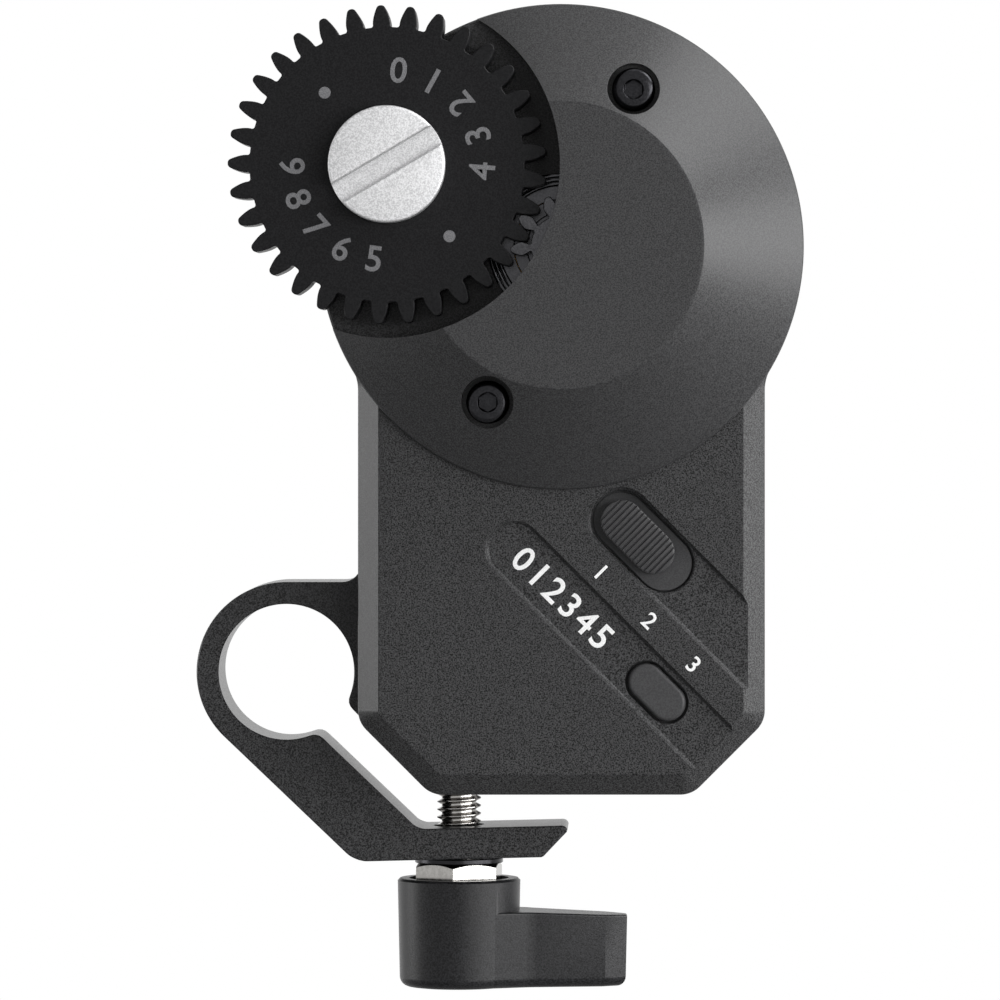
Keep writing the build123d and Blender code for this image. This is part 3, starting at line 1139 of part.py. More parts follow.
spring_length = WEB_BOTTOM - LEVER_SCREW_SEAT - 2 * SPRING_WIRE_R - 2 * FIT
with BuildPart() as lever_spring:
    with BuildLine() as coil:
        Helix(spring_length / SPRING_TURNS, spring_length, SPRING_R,
              center=(SCREW_X, 0, LEVER_SCREW_SEAT + SPRING_WIRE_R + FIT))
    with BuildSketch(Plane(origin=coil.line @ 0, z_dir=coil.line % 0)):
        Circle(SPRING_WIRE_R)
    sweep()
save(lever_spring, "lever_spring")
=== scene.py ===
"""Dressed model of a compact follow focus unit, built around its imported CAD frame.

Each sub-assembly is a class that models its own pieces in millimetres and dresses them.
Sketches are drawn on a plane of their own, x to the right and y up, and grow along z. A
"forward" distance runs from the rod clamp's bore towards the gear's face, along -Y.
"""

import json
import logging
import math
from dataclasses import dataclass, replace
from enum import Enum

import bmesh
import bpy
from mathutils import Matrix, Vector

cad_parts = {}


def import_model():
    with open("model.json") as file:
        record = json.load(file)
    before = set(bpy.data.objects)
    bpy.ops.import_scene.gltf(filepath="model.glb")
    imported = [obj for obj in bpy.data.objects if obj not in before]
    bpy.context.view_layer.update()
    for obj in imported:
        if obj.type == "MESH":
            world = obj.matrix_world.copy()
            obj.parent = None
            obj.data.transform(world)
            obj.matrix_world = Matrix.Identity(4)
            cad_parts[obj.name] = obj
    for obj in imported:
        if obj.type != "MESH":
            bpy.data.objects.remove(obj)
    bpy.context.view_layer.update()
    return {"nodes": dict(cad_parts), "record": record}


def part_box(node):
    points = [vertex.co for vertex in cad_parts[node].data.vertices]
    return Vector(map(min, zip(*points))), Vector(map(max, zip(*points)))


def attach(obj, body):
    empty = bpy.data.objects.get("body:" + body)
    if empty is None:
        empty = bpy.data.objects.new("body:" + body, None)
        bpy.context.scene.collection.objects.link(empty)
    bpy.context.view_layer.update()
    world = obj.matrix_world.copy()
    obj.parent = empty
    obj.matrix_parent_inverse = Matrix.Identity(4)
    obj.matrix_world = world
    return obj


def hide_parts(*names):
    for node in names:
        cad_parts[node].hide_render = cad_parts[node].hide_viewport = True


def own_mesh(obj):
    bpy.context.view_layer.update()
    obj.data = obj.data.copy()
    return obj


LOG = logging.getLogger("follow_focus")
METRES = 0.001  # one modelling unit, a millimetre, in Blender's unit
ROUND = 192  # steps of a large full circle
SMALL_ROUND = 64  # steps of a small full circle
LARGE_R = 3.0  # radius from which a circle counts as large, in millimetres
FINE_END = 40  # steps of a round end that shows
SHARP = math.radians(23.5)  # faces that meet at more than this keep a crisp edge
TOUCH = 1e-4  # distance within which two points are one, in millimetres
NEAR = 1e-3  # distance within which a point counts as lying on a plane, in millimetres
PAST = 1.0  # how far a cutting solid reaches past the face that it cuts, in millimetres
ACROSS = Matrix.Rotation(math.pi / 2, 4, "X")  # stands a sketch upright, its y along z
STROKE = 0.014  # how far the strokes of the lettering are thickened, as a share of its size
GRAIN_TONES = (0.38, 0.62)  # heights in a grain, from 0 to 1, that take its two colours
GRAIN_POLISH = (0.3, 0.7)  # heights in a grain that take its least and its most roughness
COAT_ROUGHNESS = 0.2  # of a clear sealed layer
COAT_IOR = 1.2  # refraction of a clear sealed layer

Point = tuple[float, float]


# ---------------------------------------------------------------- planes and outlines
class Facing(Enum):
    """Directions in the part's frame of a sketch's x, y and z."""

    FRONT = ((1, 0, 0), (0, 0, 1), (0, -1, 0))
    BACK = ((1, 0, 0), (0, 0, -1), (0, 1, 0))
    UP = ((1, 0, 0), (0, 1, 0), (0, 0, 1))
    DOWN = ((1, 0, 0), (0, -1, 0), (0, 0, -1))
    CHANNEL = ((1, 0, -1), (1, 0, 1), (0, -1, 0))
    FAR_SIDE = ((0, 0, 1), (0, -1, 0), (1, 0, 0))


def placing(facing: Facing, x: float = 0.0, forward: float = 0.0, z: float = 0.0) -> Matrix:
    """Matrix that takes a sketch to its place in the part's frame, in millimetres.

    Args:
        facing: where the sketch's own axes point.
        x: place across the unit.
        forward: distance towards the front.
        z: height.

    Returns:
        The placing matrix.
    """
    axes = [Vector(axis).normalized() for axis in facing.value]
    matrix = Matrix(axes).transposed().to_4x4()
    matrix.translation = (x, -forward, z)
    return matrix


def on_axis(axis: Point, forward: float) -> Matrix:
    """Place of a sketch that faces the front, its origin on an axis given by x and z."""
    return placing(Facing.FRONT, axis[0], forward, axis[1])


def on_channel(end: Point, forward: float) -> Matrix:
    """Place of a sketch that runs up a channel from its lower end, given by x and z."""
    return placing(Facing.CHANNEL, end[0], forward, end[1])


def polar(radius: float, angle: float, centre: Point = (0.0, 0.0)) -> Point:
    """Point at a radius and an angle in degrees from a centre."""
    turn = math.radians(angle)
    return centre[0] + radius * math.cos(turn), centre[1] + radius * math.sin(turn)


def arc_points(radius: float, start: float, turn: float, centre: Point = (0.0, 0.0),
               steps: int = 4) -> list[Point]:
    """Points at even steps along an arc, from an angle in degrees and over a turn."""
    return [polar(radius, start + turn * step / steps, centre) for step in range(steps + 1)]


class Outline:
    """A closed outline drawn by its tip, edge by edge, and filled to one flat face."""

    def __init__(self, start: Point) -> None:
        """Put the tip at the first point."""
        self.mesh = bmesh.new()
        self.tip = self.mesh.verts.new((*start, 0.0))

    def line(self, *points: Point) -> "Outline":
        """Draw straight edges from point to point."""
        for point in points:
            grown = bmesh.ops.extrude_vert_indiv(self.mesh, verts=[self.tip])
            self.tip = grown["verts"][0]
            self.tip.co = (*point, 0.0)
        return self

    def arc(self, centre: Point, angle: float, steps: int = 16) -> "Outline":
        """Turn the tip about a centre.

        Args:
            centre: centre of the arc.
            angle: turn in degrees, positive anticlockwise.
            steps: edges of the arc.

        Returns:
            The outline itself.
        """
        grown = bmesh.ops.spin(
            self.mesh, geom=[self.tip], cent=(*centre, 0.0), axis=(0, 0, 1),
            angle=math.radians(angle), steps=steps, use_merge=False,
        )
        self.tip = next(item for item in grown["geom_last"] if isinstance(item, bmesh.types.BMVert))
        return self

    def repeat(self, count: int) -> "Outline":
        """Repeat what is drawn round the origin, to a full circle."""
        bmesh.ops.spin(
            self.mesh, geom=self.mesh.verts[:] + self.mesh.edges[:], axis=(0, 0, 1), steps=count - 1,
            angle=math.radians(360 / count * (count - 1)), use_duplicate=True,
        )
        return self

    def fill(self) -> bmesh.types.BMesh:
        """Join the ends, fill the outline and hand over its mesh."""
        bmesh.ops.remove_doubles(self.mesh, verts=self.mesh.verts, dist=TOUCH)
        ends = [vert for vert in self.mesh.verts if len(vert.link_edges) == 1]
        if ends:
            self.mesh.edges.new(ends)
        bmesh.ops.contextual_create(self.mesh, geom=self.mesh.edges[:])
        bmesh.ops.recalc_face_normals(self.mesh, faces=self.mesh.faces)
        if self.mesh.faces[:][0].normal.z < 0:
            bmesh.ops.reverse_faces(self.mesh, faces=self.mesh.faces)
        return self.mesh


def bevel(mesh: bmesh.types.BMesh, geom: list, width: float, steps: int = 1, corners: bool = False) -> None:
    """Round edges of a solid, or corners of a flat outline. One step gives a chamfer.

    Args:
        mesh: the mesh.
        geom: the edges, or the points at the corners.
        width: distance from the edge or the corner at which the rounding starts.
        steps: segments across the rounding.
        corners: whether it is corners that are rounded.
    """
    bmesh.ops.bevel(mesh, geom=geom, offset=width, offset_type="OFFSET", segments=steps, profile=0.5,
                    affect="VERTICES" if corners else "EDGES", material=-1)


def turn_at(vert: bmesh.types.BMVert) -> float:
    """Angle by which a flat outline turns at a point."""
    before, after = (edge.other_vert(vert).co - vert.co for edge in vert.link_edges[:2])
    return math.pi - before.angle(after)


def rounded(mesh: bmesh.types.BMesh, corner: Point, radius: float, steps: int = 8) -> None:
    """Round one corner of a flat outline to an arc.

    Args:
        mesh: the filled outline.
        corner: about where the corner is.
        radius: radius of the arc.
        steps: edges of the arc.
    """
    spot = Vector((*corner, 0.0))
    vert = min(mesh.verts, key=lambda item: (item.co - spot).length)
    bevel(mesh, [vert], radius * math.tan(turn_at(vert) / 2), steps, corners=True)


def disc(radius: float, steps: int = SMALL_ROUND, centre: Point = (0.0, 0.0)) -> bmesh.types.BMesh:
    """Flat round face of a radius."""
    mesh = bmesh.new()
    bmesh.ops.create_circle(mesh, cap_ends=True, radius=radius, segments=steps,
                            matrix=Matrix.Translation((*centre, 0.0)))
    if mesh.faces[:][0].normal.z < 0:
        bmesh.ops.reverse_faces(mesh, faces=mesh.faces)
    return mesh


def obround(length: float, width: float, centre: Point = (0.0, 0.0), steps: int = 32) -> bmesh.types.BMesh:
    """Flat face with straight sides and round ends, its long side along x."""
    run, half = (length - width) / 2, width / 2
    x, y = centre
    outline = Outline((x - run, y - half)).line((x + run, y - half))
    outline.arc((x + run, y), 180, steps).line((x - run, y + half)).arc((x - run, y), 180, steps)
    return outline.fill()


def polygon(*points: Point) -> bmesh.types.BMesh:
    """Flat face with straight sides."""
    return Outline(points[0]).line(*points[1:]).fill()


def hexagon(flats: float, turn: float = 0.0) -> bmesh.types.BMesh:
    """Flat six-sided face with a size across its flats, two corners turned from the y axis."""
    mesh = disc(flats / math.sqrt(3), 6)
    bmesh.ops.rotate(mesh, verts=mesh.verts, matrix=Matrix.Rotation(math.radians(turn), 3, "Z"))
    return mesh


def box_face(size: Point, centre: Point = (0.0, 0.0)) -> bmesh.types.BMesh:
    """Flat rectangle of a size about a centre."""
    (long, wide), (x, y) = size, centre
    return polygon((x - long / 2, y - wide / 2), (x + long / 2, y - wide / 2),
                   (x + long / 2, y + wide / 2), (x - long / 2, y + wide / 2))


def star(radius: float, depth: float, teeth: int) -> bmesh.types.BMesh:
    """Flat serrated face, one tooth on the x axis."""
    pitch = 360 / teeth
    outline = Outline((radius, 0.0)).line(polar(radius - depth, pitch / 2), polar(radius, pitch))
    return outline.repeat(teeth).fill()


def lettering(text: str, height: float, proud: float, place: Matrix) -> bmesh.types.BMesh:
    """Closed solid of plain lettering, centred where it is placed.

    Args:
        text: what it says.
        height: height of a figure.
        proud: thickness of the solid.
        place: its place on the sketch.

    Returns:
        The solid.
    """
    curve = bpy.data.curves.new("lettering", "FONT")
    curve.body = text
    curve.align_x = "CENTER"
    curve.align_y = "CENTER"
    curve.resolution_u = 4
    curve.offset = STROKE
    written = bpy.data.objects.new("lettering", curve)
    data = bpy.data.meshes.new_from_object(written)
    mesh = bmesh.new()
    mesh.from_mesh(data)
    bpy.data.objects.remove(written)
    bpy.data.curves.remove(curve)
    bpy.data.meshes.remove(data)
    bmesh.ops.remove_doubles(mesh, verts=mesh.verts, dist=1e-5)
    spans = [(min(axis), max(axis)) for axis in zip(*[vert.co[:2] for vert in mesh.verts])]
    middle = [sum(span) / 2 for span in spans]
    bmesh.ops.translate(mesh, verts=mesh.verts, vec=(-middle[0], -middle[1], 0.0))
    tall = spans[1][1] - spans[1][0]
    bmesh.ops.scale(mesh, verts=mesh.verts, vec=(height / tall, height / tall, 1.0))
    bmesh.ops.recalc_face_normals(mesh, faces=mesh.faces)
    grown = bmesh.ops.extrude_face_region(mesh, geom=mesh.faces[:], use_keep_orig=True)
    verts = [item for item in grown["geom"] if isinstance(item, bmesh.types.BMVert)]
    bmesh.ops.translate(mesh, verts=verts, vec=(0, 0, proud))
    bmesh.ops.recalc_face_normals(mesh, faces=mesh.faces)
    bmesh.ops.transform(mesh, matrix=place, verts=mesh.verts)
    return mesh


# ---------------------------------------------------------------- solids
def terrace(mesh: bmesh.types.BMesh, *steps: Point, both: bool = False) -> bmesh.types.BMesh:
    """Raise a flat face in steps to a closed solid.

    Args:
        mesh: a mesh with one flat face, at the foot.
        steps: (inset, rise) of each step in turn. An inset of 0 is a straight wall.
        both: whether the solid goes the same way below the foot, at z = 0.

    Returns:
        The same mesh, closed.
    """
    top = mesh.faces[:][0]
    for inset, rise in steps:
        if inset:
            bmesh.ops.inset_region(mesh, faces=[top], thickness=inset, depth=rise,
                                   use_boundary=True, use_even_offset=True)
            continue
        grown = bmesh.ops.extrude_discrete_faces(mesh, faces=[top])
        top = grown["faces"][0]
        bmesh.ops.translate(mesh, verts=top.verts, vec=(0, 0, rise))
    foot = [edge for edge in mesh.edges if edge.is_boundary]
    if both:
        whole = mesh.verts[:] + mesh.edges[:] + mesh.faces[:]
        bmesh.ops.mirror(mesh, geom=whole, axis="Z", merge_dist=TOUCH)
    elif foot:
        bmesh.ops.edgeloop_fill(mesh, edges=foot)
    bmesh.ops.recalc_face_normals(mesh, faces=mesh.faces)
    return mesh


def rounding(radius: float, start: float = 0.0, end: float = 90.0, steps: int = 4) -> list[Point]:
    """Steps of a terrace that turn its wall along an arc from one lean to another.

    Args:
        radius: radius of the arc.
        start: lean of the wall from upright before it, in degrees.
        end: lean after it.
        steps: steps of the arc.

    Returns:
        (inset, rise) of each step.
    """
    points = arc_points(radius, start, end - start, steps=steps)
    return [(abs(first[0] - second[0]), abs(second[1] - first[1]))
            for first, second in zip(points, points[1:])]


def raised(mesh: bmesh.types.BMesh, low: float, high: float) -> bmesh.types.BMesh:
    """Prism over a flat face, between two heights."""
    bmesh.ops.translate(mesh, verts=mesh.verts, vec=(0, 0, low))
    return terrace(mesh, (0.0, high - low))


def lathe(*profile: Point, steps: int = SMALL_ROUND) -> bmesh.types.BMesh:
    """Solid turned about z from a profile of (radius, height) points.

    Args:
        profile: points from one end to the other. A profile that doesn't start and end on
            the axis is closed to a ring.
        steps: steps of the full turn.

    Returns:
        The closed mesh.
    """
    mesh = bmesh.new()
    verts = [mesh.verts.new((radius, 0.0, height)) for radius, height in profile]
    edges = [mesh.edges.new(pair) for pair in zip(verts, verts[1:])]
    if profile[0][0] > 0:
        edges.append(mesh.edges.new((verts[-1], verts[0])))
    bmesh.ops.spin(mesh, geom=verts + edges, axis=(0, 0, 1), angle=math.tau, steps=steps, use_merge=True)
    bmesh.ops.remove_doubles(mesh, verts=mesh.verts, dist=TOUCH)
    bmesh.ops.recalc_face_normals(mesh, faces=mesh.faces)
    return mesh


def solid(mesh: bmesh.types.BMesh, place: Matrix) -> bpy.types.Object:
    """Put a modelled mesh in its place, still in millimetres, as an object."""
    bmesh.ops.transform(mesh, matrix=place, verts=mesh.verts)
    bmesh.ops.recalc_face_normals(mesh, faces=mesh.faces)
    data = bpy.data.meshes.new("solid")
    mesh.to_mesh(data)
    mesh.free()
    made = bpy.data.objects.new("solid", data)
    bpy.context.scene.collection.objects.link(made)
    return made


class Join(Enum):
    """Ways to combine two solids."""

    UNION = "UNION"
    CUT = "DIFFERENCE"
    COMMON = "INTERSECT"


def combine(body: bpy.types.Object, how: Join, *tools: bpy.types.Object) -> bpy.types.Object:
    """Combine solids with a body, one after the other, and remove them.

    Args:
        body: the solid that is kept.
        how: whether the tools are added, cut away or intersected.
        tools: the solids to combine with it.

    Returns:
        The body.
    """
    for tool in tools:
        modifier = body.modifiers.new(how.name, "BOOLEAN")
        modifier.operation = how.value
        modifier.solver = "MANIFOLD"
        modifier.object = tool
        graph = bpy.context.evaluated_depsgraph_get()
        data = bpy.data.meshes.new_from_object(body.evaluated_get(graph))
        body.modifiers.clear()
        spent = [body.data, tool.data]
        body.data = data
        bpy.data.objects.remove(tool)
        for mesh in spent:
            bpy.data.meshes.remove(mesh)
    return body


def cylinder(radius: float, axis: Point, back: float, length: float) -> bpy.types.Object:
    """Round solid of a length towards the front, for cutting.

    Args:
        radius: its radius.
        axis: x and z of its axis.
        back: forward place of its back end.
        length: its length.

    Returns:
        The solid.
    """
    steps = ROUND if radius > LARGE_R else SMALL_ROUND
    return solid(raised(disc(radius, steps), 0.0, length), on_axis(axis, back))


def merged(*solids: bpy.types.Object) -> bpy.types.Object:
    """Put several separate solids into one object."""
    first = solids[0]
    mesh = bmesh.new()
    for item in solids:
        mesh.from_mesh(item.data)
    mesh.to_mesh(first.data)
    mesh.free()
    for item in solids[1:]:
        data = item.data
        bpy.data.objects.remove(item)
        bpy.data.meshes.remove(data)
    return first


# ---------------------------------------------------------------- finishes
def linear(colour: str) -> tuple[float, float, float, float]:
    """Linear colour of an sRGB hex value such as #2a2a2c."""
    channels = [int(colour[index:index + 2], 16) / 255 for index in (1, 3, 5)]
    red, green, blue = (c / 12.92 if c <= 0.04045 else ((c + 0.055) / 1.055) ** 2.4 for c in channels)
    return red, green, blue, 1.0


def add_node(tree: bpy.types.NodeTree, kind: str, inputs: dict | None = None, **settings) -> bpy.types.Node:
    """Add one node to a tree.

    Args:
        tree: the node tree.
        kind: the node's type.
        inputs: a value or a source socket for each named or numbered input.
        settings: the node's own settings.

    Returns:
        The node.
    """
    node = tree.nodes.new(kind)
    for name, value in settings.items():
        setattr(node, name, value)
    for name, value in (inputs or {}).items():
        if isinstance(value, bpy.types.NodeSocket):
            tree.links.new(value, node.inputs[name])
        else:
            node.inputs[name].default_value = value
    return node


def cleared_tree(owner: bpy.types.Material | bpy.types.World) -> bpy.types.NodeTree:
    """Switch a material or a world to nodes and give its empty tree."""
    owner.use_nodes = True
    owner.node_tree.nodes.clear()
    return owner.node_tree


@dataclass(frozen=True)
class Finish:
    """One real surface: its material, how it was made and what that gives the eye.

    Attributes:
        name: what the surface is.
        colour: sRGB hex of its darker grain.
        light: sRGB hex of its lighter grain.
        roughness: mean roughness.
        spread: how far the roughness varies with the grain.
        metallic: 1 for bare metal, 0 for anodic layers, paint and plastic.
        specular: strength of the reflection of a surface that isn't metal.
        grain: size of the grain, in millimetres.
        relief: height of the grain, in millimetres.
        edge: radius to which tumbling or blasting has worn its sharp edges, in millimetres.
        coat: share of the surface under a clear sealed layer, which shines at a low angle.
    """

    name: str
    colour: str
    light: str
    roughness: float
    spread: float = 0.06
    metallic: float = 0.0
    specular: float = 0.5
    grain: float = 0.2
    relief: float = 0.004
    edge: float = 0.06
    coat: float = 0.0

    def pattern(self, tree: bpy.types.NodeTree) -> bpy.types.NodeSocket:
        """Add the grain's nodes and give the socket that has its height, from 0 to 1."""
        place = add_node(tree, "ShaderNodeTexCoord").outputs["Object"]
        scale = 1 / (self.grain * METRES)
        noise = add_node(tree, "ShaderNodeTexNoise",
                         {"Vector": place, "Scale": scale, "Detail": 2.0, "Roughness": 0.6})
        return noise.outputs["Fac"]

    def material(self) -> bpy.types.Material:
        """Build the surface's material, or give the one that is there already."""
        known = bpy.data.materials.get(self.name)
        if known:
            return known
        made = bpy.data.materials.new(self.name)
        tree = cleared_tree(made)
        pattern = self.pattern(tree)
        contrast = add_node(tree, "ShaderNodeMapRange",
                            {"Value": pattern, "From Min": GRAIN_TONES[0], "From Max": GRAIN_TONES[1]})
        mix = add_node(tree, "ShaderNodeMix",
                       {"Factor": contrast.outputs["Result"], 6: linear(self.colour), 7: linear(self.light)},
                       data_type="RGBA")
        rough = add_node(tree, "ShaderNodeMapRange",
                         {"Value": pattern, "From Min": GRAIN_POLISH[0], "From Max": GRAIN_POLISH[1],
                          "To Min": self.roughness - self.spread, "To Max": self.roughness + self.spread})
        worn = add_node(tree, "ShaderNodeBevel", {"Radius": self.edge * METRES}, samples=4)
        bump = add_node(tree, "ShaderNodeBump",
                        {"Height": pattern, "Strength": 1.0, "Distance": self.relief * METRES,
                         "Normal": worn.outputs["Normal"]})
        shader = add_node(
            tree, "ShaderNodeBsdfPrincipled",
            {"Base Color": mix.outputs[2], "Roughness": rough.outputs["Result"],
             "Normal": bump.outputs["Normal"], "Metallic": self.metallic,
             "Specular IOR Level": self.specular, "Coat Weight": self.coat,
             "Coat Roughness": COAT_ROUGHNESS, "Coat IOR": COAT_IOR,
             "Coat Normal": worn.outputs["Normal"]},
        )
        add_node(tree, "ShaderNodeOutputMaterial", {"Surface": shader.outputs["BSDF"]})
        return made


# Black dye in a blasted anodic layer: the blasting gives a fine sparkle that spreads highlights
ANODISED = Finish("blasted_anodised_aluminium", "#090909", "#464647", roughness=0.4, spread=0.1,
                  specular=0.1, grain=0.12, relief=0.01, coat=0.5)
# The same layer over a finer blasting: smoother, so that the cone's gradient reads clearly
ANODISED_SMOOTH = Finish("satin_anodised_aluminium", "#1e1e1f", "#3c3c3d", roughness=0.36, spread=0.05,
                         specular=0.23, grain=0.12, coat=0.1)
# Hard anodised aluminium, milled: nearly black and dull
HARD_ANODISED = Finish("hard_anodised_aluminium", "#141415", "#1f1f20", roughness=0.42, specular=0.05,
                       grain=0.14, relief=0.002, coat=0.15)
# Bead-blasted stainless steel: bright, with no direction to its highlights
BLASTED_STEEL = Finish("bead_blasted_stainless_steel", "#a6a6a7", "#cacacb", roughness=0.55, spread=0.08,
                       metallic=1.0, grain=0.13)
# Steel ground and oiled: a tight grain and clear highlights; its colour is painted shade, set far darker than
# bare steel to stand for the shade in the gear's recess
GROUND_STEEL = Finish("bearing_steel_painted_shade", "#38383a", "#4d4d4f", roughness=0.2, spread=0.04,
                      metallic=1.0, grain=0.08, relief=0.0006)
# Nickel plate over a machined hexagon: bright and nearly smooth
NICKEL = Finish("bright_nickel_plate", "#969491", "#a2a09d", roughness=0.14, spread=0.04,
                metallic=1.0, grain=0.4, relief=0.0006)
# Blackened steel of the small screws: an oiled sheen on black
BLACK_OXIDE = Finish("blackened_screw_steel", "#212123", "#303032", roughness=0.22, spread=0.05,
                     metallic=1.0, grain=0.1, relief=0.001)
# Fine powder coat on the cast lever: a soft, slightly lumpy grain
POWDER_COAT = Finish("fine_powder_coat", "#040405", "#262628", roughness=0.38, spread=0.08,
                     specular=0.2, grain=0.14, relief=0.01, coat=0.15)
# Moulded ABS with a fine spark-eroded grain: the knob, the button and the tray
GRAINED_ABS = Finish("fine_grained_abs", "#333334", "#3f3f40", roughness=0.4, spread=0.05,
                     specular=0.2, grain=0.12, relief=0.002)
# Glass-filled nylon of switch bodies and the motor's end cap: black, dull and slightly rough
BLACK_NYLON = Finish("glass_filled_nylon", "#101011", "#1a1a1b", roughness=0.55, specular=0.4, grain=0.15)
# Brass gears, hobbed: yellow and bright along their teeth
HOBBED_BRASS = Finish("hobbed_brass", "#a9803a", "#c79c50", roughness=0.3, metallic=1.0, grain=0.12,
                      relief=0.003)
# Sintered bronze bushes, oiled: brown and open-grained
SINTERED_BRONZE = Finish("sintered_bronze", "#6f5030", "#94703f", roughness=0.5, spread=0.1,
                         metallic=1.0, grain=0.1, relief=0.006)
# Clear anodised plate that carries the motor: pale grey with a satin sheen
CLEAR_ANODISED = Finish("clear_anodised_aluminium", "#a0a2a6", "#b8babd", roughness=0.38, spread=0.05,
                        metallic=1.0, grain=0.15, relief=0.003)
# Zinc plate of the motor's can: grey with a soft, patchy shine
ZINC_PLATE = Finish("zinc_plate", "#8e9094", "#b2b4b7", roughness=0.33, spread=0.08, metallic=1.0,
                    grain=0.3, relief=0.003)
# Pressed magnet rings: dark grey and dull
PRESSED_MAGNET = Finish("pressed_magnet", "#3c3c3f", "#4c4c4f", roughness=0.5, spread=0.08,
                        metallic=0.6, grain=0.12)
# Laminated core of the stator: dark, coarse-grained steel
CORE_LAMINATIONS = Finish("silicon_steel_laminations", "#4a4a4c", "#6c6c6e", roughness=0.45, spread=0.08,
                          metallic=1.0, grain=0.3, relief=0.006)
# Green solder mask over glass-filled board: dark green and glossy
SOLDER_MASK = Finish("green_solder_mask", "#0e3a1c", "#15502a", roughness=0.3, spread=0.05, grain=0.4,
                     relief=0.002)
# Screen-printed markings: slightly rough white ink
WHITE_INK = Finish("white_printing_ink", "#dcdcdc", "#f2f2f2", roughness=0.6, spread=0.05,
                   specular=0.3, grain=0.1, relief=0.002)
# Laser marking on the gear: the black layer burnt off to grey
LASER_MARK = Finish("laser_mark_on_aluminium", "#565658", "#727274", roughness=0.55, spread=0.05,
                    specular=0.3, grain=0.1, relief=0.003)
# Drawn spring wire: bright steel with clear highlights
SPRING_WIRE = Finish("drawn_spring_wire", "#77787b", "#9a9b9e", roughness=0.3, spread=0.05,
                     metallic=1.0, grain=0.1, relief=0.002)


SLOT_FINISHES = {
    "black_anodised": ANODISED,
    "black_cover": ANODISED_SMOOTH,
    "gear_black": HARD_ANODISED,
    "black_oxide_steel": BLACK_OXIDE,
    "silver_blasted": BLASTED_STEEL,
    "ground_steel": GROUND_STEEL,
    "nickel": NICKEL,
    "zinc_lever": POWDER_COAT,
    "bronze": SINTERED_BRONZE,
    "inner_aluminium": CLEAR_ANODISED,
    "motor_steel": ZINC_PLATE,
    "magnet": PRESSED_MAGNET,
    "laminations": CORE_LAMINATIONS,
    "brass_gear": HOBBED_BRASS,
    "circuit_board": SOLDER_MASK,
    "black_plastic": BLACK_NYLON,
    "soft_black_plastic": GRAINED_ABS,
    "spring_steel": SPRING_WIRE,
}


def finished(made: bpy.types.Object, name: str, finish: Finish, body: str, slot: str,
             *nodes: str) -> bpy.types.Object:
    """Turn a solid in millimetres into a finished piece of the model.

    Args:
        made: the solid.
        name: the piece's name.
        finish: its surface.
        body: the CAD body that it moves with.
        slot: the record's material slot of the piece; not used.
        nodes: the CAD nodes that it stands for.

    Returns:
        The piece, in metres, at the origin.
    """
    mesh = bmesh.new()
    mesh.from_mesh(made.data)
    bmesh.ops.transform(mesh, matrix=Matrix.Scale(METRES, 4), verts=mesh.verts)
    bmesh.ops.dissolve_degenerate(mesh, edges=mesh.edges, dist=1e-7)
    mesh.to_mesh(made.data)
    mesh.free()
    made.name = made.data.name = name
    made.data.shade_smooth()
    made.data.set_sharp_from_angle(angle=SHARP)
    made.data.materials.clear()
    made.data.materials.append(finish.material())
    normals = made.modifiers.new("even normals", "WEIGHTED_NORMAL")
    normals.keep_sharp = True
    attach(made, body)
    if nodes:
        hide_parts(*nodes)
    LOG.info("%s: %d faces", name, len(made.data.polygons))
    return made


